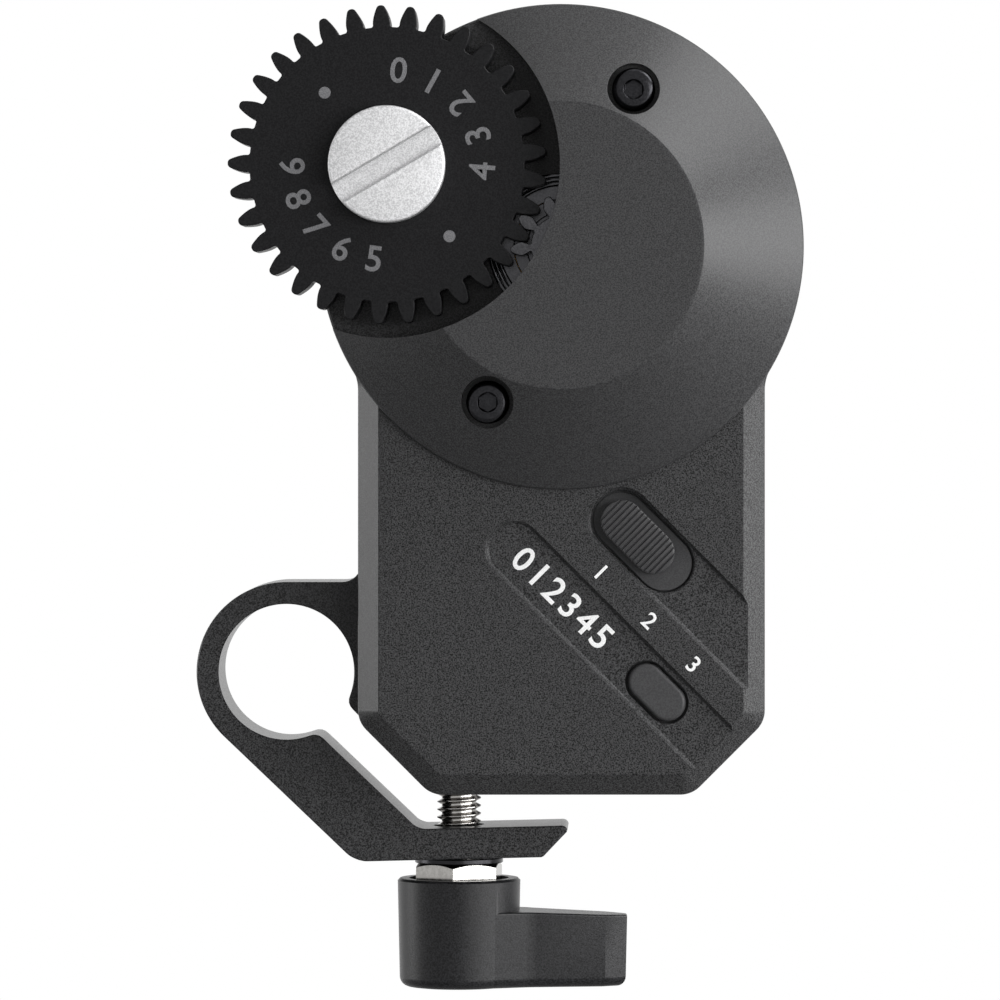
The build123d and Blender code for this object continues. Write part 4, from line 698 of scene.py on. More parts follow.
# ---------------------------------------------------------------- shared sizes
@dataclass(frozen=True)
class Layout:
    """Sizes and places that more than one sub-assembly uses, in millimetres.

    waist_past is the turn, in degrees, by which the waist's arcs run on into the drum.
    """

    side_x: float = 6.72
    far_x: float = 42.92
    bottom: float = -10.67
    drum: Point = (24.82, 38.03)
    drum_r: float = 21.5
    corner_cut: float = 6.5
    corner_r: float = 2.5
    least_r: float = 0.4
    waist_r: float = 4.0
    waist_past: float = 2.5
    front: float = 13.5
    back: float = -10.5
    wall: float = 1.8
    front_wall: float = 1.7
    gear_floor_gap: float = 0.5
    gear_width: float = 5.0
    gear_distance: float = 16.8
    gear_direction: float = 155.0
    channel_depth: float = 0.5
    switch_end: Point = (30.12, 13.81)
    button_end: Point = (20.65, 11.18)
    button_along: float = 17.9
    window: Point = (10.6, 5.2)
    screw_x: float = 15.4
    screw_circle_r: float = 15.2

    def on_screw(self, z: float, facing: Facing = Facing.UP) -> Matrix:
        """Place of a sketch on the clamp screw's axis, at a height."""
        return placing(facing, self.screw_x, 0.0, z)

    @property
    def window_centre(self) -> Point:
        """Middle of the switch's window, along and across its channel."""
        return (self.window[0] - self.window[1]) / 2, 0.0

    @property
    def drive(self) -> Point:
        """Axis of the lens gear."""
        return polar(self.gear_distance, self.gear_direction, self.drum)

    @property
    def gear_back(self) -> float:
        """Forward place of the lens gear's back."""
        return self.front + self.gear_floor_gap

    @property
    def gear_front(self) -> float:
        """Forward place of the lens gear's face."""
        return self.gear_back + self.gear_width

    @property
    def channel_floor(self) -> float:
        """Forward place of the channels' floor."""
        return self.front - self.channel_depth

    @property
    def cover_screws(self) -> list[Point]:
        """Axes of the two screws in the gear cover."""
        return [polar(self.screw_circle_r, self.gear_direction + turn, self.drum) for turn in (-90, 90)]

    def shell_outline(self, inset: float = 0.0) -> bmesh.types.BMesh:
        """Flat outline of the housing below the drum, its top edge inside the drum.

        Args:
            inset: distance inside the housing's outer wall.

        Returns:
            The filled outline.
        """
        left, right = self.side_x + inset, self.far_x - inset
        low = self.bottom + inset
        cut = self.corner_cut - inset * (2 - math.sqrt(2))
        radius = max(self.corner_r - inset, self.least_r)
        tangent = radius * math.tan(math.radians(22.5))
        slant = tangent / math.sqrt(2)
        reach = self.drum_r + self.waist_r
        offset = self.drum[0] - self.side_x + self.waist_r
        waist_z = self.drum[1] - math.sqrt(reach**2 - offset**2)
        turn = math.degrees(math.acos(offset / reach)) + self.waist_past
        outline = Outline((left, waist_z)).line((left, low + cut + tangent))
        outline.arc((left + radius, low + cut + tangent), 45, 8)
        outline.line((left + cut - slant, low + slant))
        outline.arc((left + cut + tangent, low + radius), 45, 8)
        outline.line((right - cut - tangent, low))
        outline.arc((right - cut - tangent, low + radius), 45, 8)
        outline.line((right - slant, low + cut - slant))
        outline.arc((right - radius, low + cut + tangent), 45, 8)
        outline.line((right, waist_z))
        outline.arc((self.far_x + self.waist_r, waist_z), -turn, 12)
        half_gap = self.far_x + self.waist_r - self.drum[0]
        wide = self.waist_r + inset
        end_x = half_gap - wide * math.cos(math.radians(turn))
        end_z = waist_z + wide * math.sin(math.radians(turn))
        outline.line((self.drum[0] - end_x, end_z))
        outline.arc((self.side_x - self.waist_r, waist_z), -turn, 12)
        return outline.fill()


LAYOUT = Layout()


# ---------------------------------------------------------------- housing
@dataclass(frozen=True)
class RodClamp:
    """Clamp for the rod, in one piece with the housing."""

    bore_r: float = 6.1
    ring_r: float = 8.08
    length: float = 10.0
    slot_upper: float = 1.83
    slot_lower: float = 2.04
    arm_top: float = 14.42
    arm_thickness: float = 2.8
    arm_end: float = 24.95
    arm_chamfer: float = 2.3
    arm_corner_r: float = 0.5
    heel_r: float = 2.6
    crook_r: float = 1.6
    close: float = 1.35
    root_r: float = 1.7
    lip_r: float = 0.8
    edge: float = 0.12
    rim_past: float = 0.1
    flat_angle: float = 0.3
    slot_past: float = 1.5
    screw_clearance_r: float = 2.3

    def extruded(self, mesh: bmesh.types.BMesh, half: float) -> bpy.types.Object:
        """Make a solid of a sketch on the bore's axis, as far in front as behind."""
        return solid(raised(mesh, -half, half), placing(Facing.FRONT))

    def ring(self) -> bpy.types.Object:
        """Model the ring's outside."""
        return self.extruded(disc(self.ring_r, ROUND), self.length / 2)

    def jaw(self) -> bpy.types.Object:
        """Model the block between the ring and the housing, with its rounded root."""
        side, sunk = LAYOUT.side_x, LAYOUT.side_x + LAYOUT.wall / 2
        reach = self.slot_upper * math.sqrt(2)
        tall = self.ring_r + 2 * self.root_r
        mesh = polygon((0, reach), (side, reach - side), (sunk, reach - side), (sunk, tall), (side, tall),
                       (side, self.ring_r), (0, self.ring_r))
        rounded(mesh, (side, self.ring_r), self.root_r)
        return self.extruded(mesh, self.length / 2)

    def arm(self) -> bpy.types.Object:
        """Model the arm that the screw draws up."""
        ring_reach, slot_reach = self.ring_r * math.sqrt(2), self.slot_lower * math.sqrt(2)
        under = self.arm_top + self.arm_thickness
        heel, crook = (under - ring_reach, -under), (self.arm_top - slot_reach, -self.arm_top)
        mesh = polygon((-ring_reach / 2, -ring_reach / 2), heel, (self.arm_end - self.arm_chamfer, -under),
                       (self.arm_end, -under + self.arm_chamfer), (self.arm_end, -self.arm_top), crook,
                       (-slot_reach / 2, -slot_reach / 2))
        rounded(mesh, heel, self.heel_r)
        rounded(mesh, crook, self.crook_r)
        rounded(mesh, (self.arm_end, -self.arm_top), self.arm_corner_r)
        half = self.length / 2
        closed = Matrix.Rotation(math.radians(self.close), 4, "Z")
        return solid(raised(mesh, -half, half), placing(Facing.FRONT) @ closed)

    def slot(self) -> bpy.types.Object:
        """Model the wedge between the jaw and the arm, which is cut away."""
        reach = self.ring_r + self.slot_past
        upper_in = polar(self.slot_upper, 45)
        lower_in = polar(self.slot_lower, 225 + self.close)
        mesh = polygon((0, 0), lower_in, polar(reach, self.close - 45, lower_in), polar(reach, -45, upper_in),
                       upper_in)
        return self.extruded(mesh, self.length)

    def build(self) -> bpy.types.Object:
        """Model the clamp with its bore, slot, lips and edges."""
        made = combine(self.ring(), Join.UNION, self.jaw(), self.arm())
        bore = self.extruded(disc(self.bore_r, ROUND), self.length)
        combine(made, Join.CUT, bore, self.slot(), *self.lips())
        mesh = bmesh.new()
        mesh.from_mesh(made.data)
        bmesh.ops.remove_doubles(mesh, verts=mesh.verts, dist=self.edge / 2)
        bmesh.ops.dissolve_limit(mesh, angle_limit=math.radians(self.flat_angle), verts=mesh.verts,
                                 edges=mesh.edges)
        bevel(mesh, [edge for edge in mesh.edges if self.is_rim(edge)], self.edge)
        mesh.to_mesh(made.data)
        mesh.free()
        return made

    def is_rim(self, edge: bmesh.types.BMEdge) -> bool:
        """Whether an edge is on the clamp's front or back rim, beside or below the housing."""
        on_rim = all(abs(abs(vert.co.y) - self.length / 2) < NEAR for vert in edge.verts)
        beside = all(vert.co.x < LAYOUT.side_x + self.rim_past for vert in edge.verts)
        below = all(vert.co.z < LAYOUT.bottom for vert in edge.verts)
        return on_rim and (beside or below) and edge.calc_face_angle(0.0) > SHARP

    def lips(self) -> list[bpy.types.Object]:
        """Model what is cut away to round the two edges where the slot opens into the bore."""
        cutters = []
        spread = math.degrees(self.lip_r / self.bore_r)
        for face, start, lean, side in ((self.slot_upper, 45.0, 0.0, -1),
                                        (self.slot_lower, 225.0 + self.close, self.close, 1)):
            angle = start + side * math.degrees(math.acos(face / self.bore_r))
            corner = Vector(polar(self.bore_r, angle))
            on_bore = Vector(polar(self.bore_r, angle - side * spread))
            on_wall = corner + Vector(polar(self.lip_r, lean - 45))
            outside = corner * 2 - (on_bore + on_wall) / 2
            bend = [on_bore.lerp(corner, share).lerp(corner.lerp(on_wall, share), share)
                    for share in (0.0, 0.25, 0.5, 0.75, 1.0)]
            cutters.append(self.extruded(polygon(outside, *bend), self.length))
        return cutters


@dataclass(frozen=True)
class Housing:
    """Main housing: shell, drum, channels and windows, and the rod clamp with it."""

    bevel: float = 2.0
    edge: float = 0.08
    seam: float = 0.12
    drum_seam: float = 0.18
    switch_channel: float = 5.95
    button_channel: float = 5.25
    channel_length: float = 45.0
    channel_slope: float = 32.0
    channel_round: float = 0.2
    cutter_proud: float = 0.6
    window_lead: float = 0.25
    button_hole: Point = (6.4, 3.8)
    bearing_hole_r: float = 6.51
    shaft_hole_r: float = 3.51
    socket: Point = (9.24, 3.56)
    socket_depth: float = 3.0
    socket_forward: float = 6.55
    socket_z: float = 8.0
    thread_hole_r: float = 2.03
    thread_depth: float = 5.4

    def shell(self) -> bpy.types.Object:
        """Model the lower shell with its broad bevel and fine edges."""
        depth = LAYOUT.front - LAYOUT.back
        edge, broad = self.edge, self.bevel
        mesh = terrace(LAYOUT.shell_outline(), (0.0, depth - broad - 2 * edge), (edge / 2, edge * 1.5),
                       (broad - edge * 2, broad - edge), (edge * 1.5, edge / 2))
        foot = [item for item in mesh.edges if item.is_manifold and item.calc_face_angle(0.0) > SHARP
                and all(vert.co.z <= NEAR for vert in item.verts)]
        bevel(mesh, foot, self.seam)
        return solid(mesh, placing(Facing.FRONT, forward=LAYOUT.back))

    def drum(self) -> bpy.types.Object:
        """Model the round upper part with its seams to both covers."""
        depth, rim = LAYOUT.front - LAYOUT.back, LAYOUT.drum_r
        mesh = lathe((0, 0), (rim - self.seam, 0), (rim, self.seam), (rim, depth - self.drum_seam),
                     (rim - self.drum_seam, depth), (0, depth), steps=ROUND)
        return solid(mesh, on_axis(LAYOUT.drum, LAYOUT.back))

    def cavity(self) -> list[bpy.types.Object]:
        """Model the two solids that hollow the shell and the drum."""
        depth = LAYOUT.front - LAYOUT.front_wall - LAYOUT.back
        low = raised(LAYOUT.shell_outline(LAYOUT.wall), -PAST, depth)
        round_part = raised(disc(LAYOUT.drum_r - LAYOUT.wall, ROUND, LAYOUT.drum), -PAST, depth)
        place = placing(Facing.FRONT, forward=LAYOUT.back)
        return [solid(low, place), solid(round_part, place)]

    def channel(self, end: Point, width: float) -> bpy.types.Object:
        """Model one sloping-walled channel, which is cut away."""
        proud = self.cutter_proud
        upper = rounding(self.channel_round, 90.0, self.channel_slope, 3)
        lower = rounding(self.channel_round, self.channel_slope, 90.0, 3)
        depth = LAYOUT.channel_depth - sum(rise for _, rise in upper + lower)
        slope = math.tan(math.radians(self.channel_slope))
        inset = sum(inset for inset, _ in upper + lower) + depth * slope
        flare = inset - LAYOUT.channel_depth * slope
        run = (self.channel_length - width) / 2
        mesh = obround(self.channel_length + flare, width + flare, (run, 0.0), FINE_END)
        bmesh.ops.reverse_faces(mesh, faces=mesh.faces)
        bmesh.ops.translate(mesh, verts=mesh.verts, vec=(0, 0, proud))
        terrace(mesh, (0.0, -proud), *upper, (depth * slope, depth), *lower)
        return solid(mesh, on_channel(end, LAYOUT.front))

    def window_cutter(self) -> bpy.types.Object:
        """Model the switch's window with its led-in edge, which is cut away."""
        length, width = LAYOUT.window
        lead, proud = self.window_lead, self.cutter_proud
        mesh = obround(length + 2 * lead, width + 2 * lead, LAYOUT.window_centre, FINE_END)
        bmesh.ops.reverse_faces(mesh, faces=mesh.faces)
        bmesh.ops.translate(mesh, verts=mesh.verts, vec=(0, 0, proud))
        terrace(mesh, (0.0, -proud), *rounding(lead, 90.0, 0.0), (0.0, -2 * LAYOUT.front_wall))
        return solid(mesh, on_channel(LAYOUT.switch_end, LAYOUT.channel_floor))

    def holes(self) -> list[bpy.types.Object]:
        """Model the holes through the walls."""
        deep = 3 * LAYOUT.front_wall
        button = raised(obround(*self.button_hole, (LAYOUT.button_along, 0.0)), -deep, PAST)
        bearing = raised(disc(self.bearing_hole_r, ROUND), -deep, PAST)
        shaft = raised(disc(self.shaft_hole_r), -deep, PAST)
        socket = raised(obround(*self.socket), -self.socket_depth, PAST)
        thread = raised(disc(self.thread_hole_r), -PAST, self.thread_depth)
        return [
            solid(button, on_channel(LAYOUT.button_end, LAYOUT.front)),
            solid(bearing, on_axis(LAYOUT.drum, LAYOUT.front)),
            solid(shaft, on_axis(LAYOUT.drive, LAYOUT.front)),
            solid(socket, placing(Facing.FAR_SIDE, LAYOUT.far_x, self.socket_forward, self.socket_z)),
            solid(thread, LAYOUT.on_screw(LAYOUT.bottom)),
        ]

    def build(self) -> None:
        """Model the housing and finish it."""
        made = combine(self.shell(), Join.UNION, self.drum())
        combine(made, Join.CUT, *self.cavity())
        clamp = RodClamp()
        combine(made, Join.UNION, clamp.build())
        arm_hole = raised(disc(clamp.screw_clearance_r), -3 * clamp.arm_thickness, 0.0)
        combine(
            made, Join.CUT,
            self.channel(LAYOUT.switch_end, self.switch_channel),
            self.channel(LAYOUT.button_end, self.button_channel),
            self.window_cutter(), *self.holes(),
            solid(arm_hole, LAYOUT.on_screw(PAST - clamp.arm_top)),
        )
        finished(made, "housing_shell", ANODISED, "housing", "black_anodised", "main_housing")


@dataclass(frozen=True)
class BackCover:
    """Plate that closes the housing's back, with its four countersunk screws."""

    thickness: float = 1.5
    bevel: float = 0.6
    seam: float = 0.1
    screw_circle_r: float = 18.1
    screw_angles: Point = (15.0, 100.0)
    lower_screw_z: float = 4.0
    lower_screw_inset: float = 3.4
    shank_r: float = 1.0
    head_r: float = 1.9
    socket: float = 1.5
    gap: float = 0.1
    length: float = 6.5
    proud: float = 0.02

    def places(self) -> list[Point]:
        """Axes of the four screws."""
        inset, low = self.lower_screw_inset, self.lower_screw_z
        upper = [polar(self.screw_circle_r, angle, LAYOUT.drum) for angle in self.screw_angles]
        return [*upper, (LAYOUT.side_x + inset, low), (LAYOUT.far_x - inset, low)]

    def screw(self) -> bmesh.types.BMesh:
        """Model one countersunk screw, the top of its head at 0."""
        cone = self.shank_r - self.head_r
        return lathe((0, -self.length), (self.shank_r, -self.length), (self.shank_r, cone),
                     (self.head_r, -self.seam), (self.head_r - self.seam, 0), (0, 0))

    def hole(self) -> bmesh.types.BMesh:
        """Model one countersunk hole, which is cut away."""
        head, shank = self.head_r + self.gap, self.shank_r + self.gap
        return lathe((0, -self.length), (shank, -self.length), (shank, shank - head), (head, 0),
                     (head, PAST), (0, PAST))

    def build(self) -> None:
        """Model the plate and its screws and finish them."""
        thickness, broad, rim = self.thickness, self.bevel, LAYOUT.drum_r
        mirrored = Matrix.Scale(-1, 4, (0, 0, 1))
        plate = terrace(LAYOUT.shell_outline(), (0.0, thickness - broad), (broad, broad))
        made = solid(plate, placing(Facing.FRONT, forward=LAYOUT.back) @ mirrored)
        drum = lathe((0, 0), (rim - self.seam, 0), (rim, self.seam), (rim, thickness - broad),
                     (rim - broad, thickness), (0, thickness), steps=ROUND)
        combine(made, Join.UNION, solid(drum, on_axis(LAYOUT.drum, LAYOUT.back) @ mirrored))
        outside = LAYOUT.back - thickness
        screws = []
        for x, z in self.places():
            place = placing(Facing.BACK, x, outside, z)
            combine(made, Join.CUT, solid(self.hole(), place))
            lifted = placing(Facing.BACK, x, outside - self.proud, z)
            socket = raised(hexagon(self.socket), -self.socket / 2, PAST)
            screws.append(combine(solid(self.screw(), lifted), Join.CUT, solid(socket, lifted)))
        finished(made, "rear_plate", ANODISED, "housing", "black_anodised", "back_cover")
        finished(merged(*screws), "rear_plate_screws", BLACK_OXIDE, "housing", "black_oxide_steel",
                 "back_cover_screws")


@dataclass(frozen=True)
class GearCover:
    """Sloping round cover with the lens gear's recess, and its two socket screws."""

    height: float = 7.0
    rim: float = 0.6
    flat_r: float = 12.6
    wall: float = 1.5
    seam: float = 0.16
    crest: float = 0.25
    recess_r: float = 15.2
    pocket_r: float = 7.2
    pocket_gap: float = 0.2
    counterbore_r: float = 2.31
    counterbore_wall: float = 1.0
    head_seat: float = 3.2
    shank_r: float = 1.0
    shank_gap: float = 0.1
    head_r: float = 1.9
    head_height: float = 2.0
    dome: float = 0.5
    socket: float = 1.5
    socket_floor: float = 0.4  # height of its floor, as a share of the head's
    lead_depth: float = 1.0
    screw_length: float = 5.93

    @property
    def seat(self) -> float:
        """Forward place of the screws' seats."""
        slope = (self.height - self.rim) / (LAYOUT.drum_r - self.flat_r)
        return LAYOUT.front + self.height - (LAYOUT.screw_circle_r - self.flat_r) * slope - self.head_seat

    def body(self) -> bmesh.types.BMesh:
        """Model the cover's outside, with a rounded crest between its cone and its flat."""
        edge, slope = LAYOUT.drum_r, math.atan2(self.height - self.rim, LAYOUT.drum_r - self.flat_r)
        run, fall = self.crest * math.cos(slope), self.crest * math.sin(slope)
        middle = self.crest / 4
        return lathe(
            (0, 0), (edge - self.seam, 0), (edge, self.seam), (edge, self.rim - self.seam),
            (edge - self.seam / 2, self.rim),
            (self.flat_r + run, self.height - fall), (self.flat_r + middle / 2, self.height - middle / 2),
            (self.flat_r - self.crest, self.height), (0, self.height), steps=ROUND,
        )

    def hollow(self) -> bpy.types.Object:
        """Model the space inside the cover, which is cut away."""
        inner, top = LAYOUT.drum_r - self.wall, self.height - self.wall
        mesh = lathe((0, -PAST), (inner, -PAST), (inner, 0), (self.flat_r - self.wall / 3, top), (0, top),
                     steps=ROUND)
        hollow = solid(mesh, on_axis(LAYOUT.drum, LAYOUT.front))
        kept = [(self.recess_r + self.wall, LAYOUT.drive), (self.pocket_r + self.wall, LAYOUT.drum)]
        kept += [(self.counterbore_r + self.counterbore_wall, axis) for axis in LAYOUT.cover_screws]
        back, length = LAYOUT.front - 2 * PAST, 2 * self.height
        return combine(hollow, Join.CUT, *[cylinder(radius, axis, back, length) for radius, axis in kept])

    def screw(self, axis: Point) -> bpy.types.Object:
        """Model one socket screw with a domed head."""
        tall, wide, dome = self.head_height, self.head_r, self.dome
        crown = arc_points(dome, 0, 90, (wide - dome, tall - dome))
        mesh = lathe((0, -self.screw_length), (self.shank_r, -self.screw_length), (self.shank_r, 0),
                     (wide, 0), *crown, (0, tall))
        seat = on_axis(axis, self.seat)
        inner, low = self.socket / 2, tall - self.lead_depth
        lead = lathe((0, low), (inner, low), (inner, tall - self.seam),
                     (inner + 2 * self.seam, tall + self.seam), (0, tall + self.seam))
        socket = raised(hexagon(self.socket), tall * self.socket_floor, tall + PAST)
        return combine(solid(mesh, seat), Join.CUT, solid(socket, seat), solid(lead, seat))

    def build(self) -> None:
        """Model the cover and its screws and finish them."""
        made = solid(self.body(), on_axis(LAYOUT.drum, LAYOUT.front))
        back, pocket = LAYOUT.front - PAST, PAST + LAYOUT.gear_front + self.pocket_gap - LAYOUT.front
        combine(made, Join.CUT, self.hollow(),
                cylinder(self.recess_r, LAYOUT.drive, back, 2 * self.height),
                cylinder(self.pocket_r, LAYOUT.drum, back, pocket))
        for place in LAYOUT.cover_screws:
            combine(made, Join.CUT,
                    cylinder(self.counterbore_r, place, self.seat, self.height),
                    cylinder(self.shank_r + self.shank_gap, place, back, self.height))
        finished(made, "sloping_cover", ANODISED_SMOOTH, "housing", "black_cover", "gear_cover")
        screws = merged(*[self.screw(place) for place in LAYOUT.cover_screws])
        finished(screws, "cover_socket_screws", BLACK_OXIDE, "housing", "black_oxide_steel", "cover_screws")


# ---------------------------------------------------------------- gears and their bearing
@dataclass(frozen=True)
class Teeth:
    """Involute teeth of a spur gear."""

    count: int
    phase: float
    module: float = 0.8
    dedendum: float = 1.25
    undercut: float = 0.0
    corner: float = 0.1
    corner_steps: int = 4
    backlash: float = 0.08
    pressure: float = 20.0
    flank_steps: int = 7

    def flank(self) -> list[Point]:
        """Upper flank of the tooth that lies on the x axis, from its foot to its tip."""
        pitch_r, pressure = self.module * self.count / 2, math.radians(self.pressure)
        base_r, root_r = pitch_r * math.cos(pressure), pitch_r - self.dedendum * self.module
        start_r, tip_r = max(base_r, root_r), pitch_r + self.module
        half_space = (math.pi * self.module - self.backlash) / (4 * pitch_r) + math.tan(pressure) - pressure
        points = []
        for step in range(self.flank_steps + 1):
            radius = start_r + (tip_r - start_r) * step / self.flank_steps
            roll = math.acos(min(1.0, base_r / radius))
            points.append(polar(radius, math.degrees(half_space - math.tan(roll) + roll)))
        if start_r > root_r:
            foot = math.degrees(math.atan2(points[0][1], points[0][0])) - self.undercut
            points.insert(0, polar(root_r, foot))
        return points

    def face(self) -> bmesh.types.BMesh:
        """Draw the whole gear's outline and fill it."""
        flank = self.flank()
        other = [(x, -y) for x, y in flank]
        foot, tip = (math.degrees(math.atan2(y, x)) for x, y in (flank[0], flank[-1]))
        pitch = 360 / self.count
        outline = Outline(other[0]).line(*other[1:])
        outline.arc((0, 0), 2 * tip, 1)
        outline.line(*reversed(flank[:-1]))
        outline.arc((0, 0), pitch - 2 * foot, 3)
        mesh = outline.repeat(self.count).mesh
        bmesh.ops.rotate(mesh, verts=mesh.verts, matrix=Matrix.Rotation(math.radians(self.phase), 3, "Z"))
        outline.fill()
        corners = [vert for vert in mesh.verts if turn_at(vert) > SHARP]
        bevel(mesh, corners, self.corner, self.corner_steps, corners=True)
        return mesh


LENS_TEETH = Teeth(33, 5.0, dedendum=1.4, corner=0.22)


@dataclass(frozen=True)
class LensGear:
    """Gear that drives the lens, with its markings and the coin screw that holds it."""

    edge: float = 0.07
    bore_r: float = 3.51
    mark_r: float = 8.35
    mark_height: float = 2.3
    mark_proud: float = 0.012
    dot_r: float = 0.53
    dot_angle: float = 131.0
    scales: tuple[tuple[float, float, int, int], ...] = ((83.0, -4.0, 0, 4), (262.0, 181.0, 5, 9))
    screw_r: float = 5.15
    screw_head: float = 1.5
    screw_round: float = 0.25
    screw_shank_r: float = 1.5
    screw_shank: float = 4.2
    slot: Point = (1.8, 0.9)
    slot_angle: float = 30.6

    def gear(self) -> None:
        """Model the gear and finish it."""
        width = LAYOUT.gear_width
        mesh = terrace(LENS_TEETH.face(), (0.0, width / 2 - self.edge), (self.edge, self.edge), both=True)
        made = solid(mesh, on_axis(LAYOUT.drive, LAYOUT.gear_back + width / 2))
        combine(made, Join.CUT, cylinder(self.bore_r, LAYOUT.drive, LAYOUT.gear_back - PAST, 2 * width))
        finished(made, "lens_gear", HARD_ANODISED, "drive_gear", "gear_black", "drive_gear")

    def marks(self) -> None:
        """Model the two dots and the two arcs of plain numbers, each outwards up, and finish them."""
        parts = [raised(disc(self.dot_r, 32, polar(self.mark_r, self.dot_angle + turn)), 0.0, self.mark_proud)
                 for turn in (0, 180)]
        for start, end, first, last in self.scales:
            for number in range(first, last + 1):
                angle = start + (end - start) * (number - first) / (last - first)
                x, y = polar(self.mark_r, angle)
                upright = Matrix.Rotation(math.radians(angle + 90), 4, "Z")
                parts.append(lettering(str(number), self.mark_height, self.mark_proud,
                                       Matrix.Translation((x, y, 0.0)) @ upright))
        place = on_axis(LAYOUT.drive, LAYOUT.gear_front)
        finished(merged(*[solid(part, place) for part in parts]), "gear_numbers", LASER_MARK, "drive_gear",
                 "gear_black")

    def coin_screw(self) -> None:
        """Model the large slotted screw and finish it."""
        radius, tall, soft = self.screw_r, self.screw_head, self.screw_round
        rim = arc_points(soft, 0, 90, (radius - soft, tall - soft))
        mesh = lathe((0, -self.screw_shank), (self.screw_shank_r, -self.screw_shank), (self.screw_shank_r, 0),
                     (radius - soft / 2, 0), (radius, soft / 2), *rim, (0, tall), steps=ROUND)
        place = on_axis(LAYOUT.drive, LAYOUT.gear_front)
        width, depth = self.slot
        half, lead = width / 2, width / 12
        section = polygon((-half - 2 * lead, tall + lead), (-half, tall - lead), (-half, tall - depth),
                          (half, tall - depth), (half, tall - lead), (half + 2 * lead, tall + lead))
        along = Matrix.Rotation(math.radians(self.slot_angle + 90), 4, "Z") @ ACROSS
        cutter = solid(raised(section, -2 * radius, 2 * radius), place @ along)
        made = combine(solid(mesh, place), Join.CUT, cutter)
        finished(made, "coin_slot_screw", BLASTED_STEEL, "drive_gear", "silver_blasted", "coin_screw")

    def build(self) -> None:
        """Build the gear's three pieces."""
        self.gear()
        self.marks()
        self.coin_screw()


@dataclass(frozen=True)
class OutputShaft:
    """Steel pinion and shaft, and the ball bearing's rings and shield round its foot."""

    teeth: Teeth = Teeth(9, 0.0, undercut=4.0)
    bearing: tuple[float, float, float] = (3.0, 6.5, 3.5)
    land: float = 0.32
    ball: float = 0.27
    groove_gap: float = 0.03
    groove_steps: int = 8
    shaft_overlap: float = 0.2
    front_gap: float = 0.1
    edge: float = 0.08
    web_r: float = 2.5
    journal_r: float = 2.0
    seat_gap: float = 0.01
    shaft_end: float = 0.2
    gear_front: float = 8.8
    gear_back: float = 6.2
    shield: tuple[float, float, float] = (0.1, 0.3, 0.2)
    crowns: int = 3
    crown_rise: float = 0.12

    @property
    def front(self) -> float:
        """Forward place of the bearing's face."""
        return LAYOUT.front + self.front_gap

    def crowned(self, outer: float, inner: float) -> list[Point]:
        """Profile of a ring's face with turned crowns, from its outer edge to its inner one."""
        pitch = (outer - inner) / self.crowns
        points = [(outer, -self.crown_rise)]
        for index in range(self.crowns):
            middle = outer - pitch * (index + 0.5)
            for angle in range(30, 181, 30):
                along, up = polar(1.0, angle)
                points.append((middle + along * pitch / 2, (up - 1) * self.crown_rise))
        return points

    def phase(self) -> float:
        """Phase at which the pinion meshes with the lens gear."""
        direction = LAYOUT.gear_direction + 180
        turned = (direction - LENS_TEETH.phase) / (360 / LENS_TEETH.count)
        pitch = 360 / self.teeth.count
        return (direction + 180 - pitch * (0.5 - turned)) % pitch

    def build(self) -> None:
        """Model the pinion with its shaft, the rings and the shield, and finish them."""
        place = on_axis(LAYOUT.drum, self.front)
        teeth = replace(self.teeth, phase=self.phase())
        straight = LAYOUT.gear_front - self.front - self.edge
        mesh = terrace(teeth.face(), (0.0, straight), (self.edge, self.edge))
        bore, outer, width = self.bearing
        neck, top = bore - self.seat_gap, self.shaft_overlap
        web, step, end = (self.front - forward
                          for forward in (self.gear_front, self.gear_back, self.shaft_end))
        shaft = lathe((0, top), (neck, top), (neck, -web), (self.web_r, -web), (self.web_r, -step),
                      (self.journal_r, -step), (self.journal_r, -end), (0, -end))
        made = combine(solid(mesh, place), Join.UNION, solid(shaft, place))
        finished(made, "steel_pinion", GROUND_STEEL, "output_shaft", "ground_steel", "pinion_shaft")
        ledge = (outer - bore) * self.land
        groove = (outer - bore) * self.ball + self.groove_gap
        middle = ((bore + outer) / 2, -width / 2)
        reach = math.degrees(math.acos((middle[0] - bore - ledge) / groove))
        inward, outward = (reversed(arc_points(groove, side - reach, 2 * reach, middle, self.groove_steps))
                           for side in (180, 0))
        inner = lathe((bore, -width), (bore + ledge, -width), *inward,
                      (bore + ledge, 0), (bore + self.edge, 0), (bore, -self.edge), steps=ROUND)
        ring = lathe((outer - ledge, -width), (outer, -width), *self.crowned(outer, outer - ledge),
                     *outward, steps=ROUND)
        gap, sunk, thick = self.shield
        near, far = bore + ledge + gap, outer - ledge - self.seat_gap
        plate = lathe((near, -sunk), (far, -sunk), (far, thick - sunk), (near, thick - sunk), steps=ROUND)
        for mesh, name, body, node in (
            (inner, "bearing_inner_race", "output_shaft", "output_bearing_inner_ring"),
            (ring, "bearing_outer_race", "housing", "output_bearing_outer_ring"),
            (plate, "bearing_dust_shield", "housing", "output_bearing_shield"),
        ):
            finished(solid(mesh, place), name, GROUND_STEEL, body, "ground_steel", node)


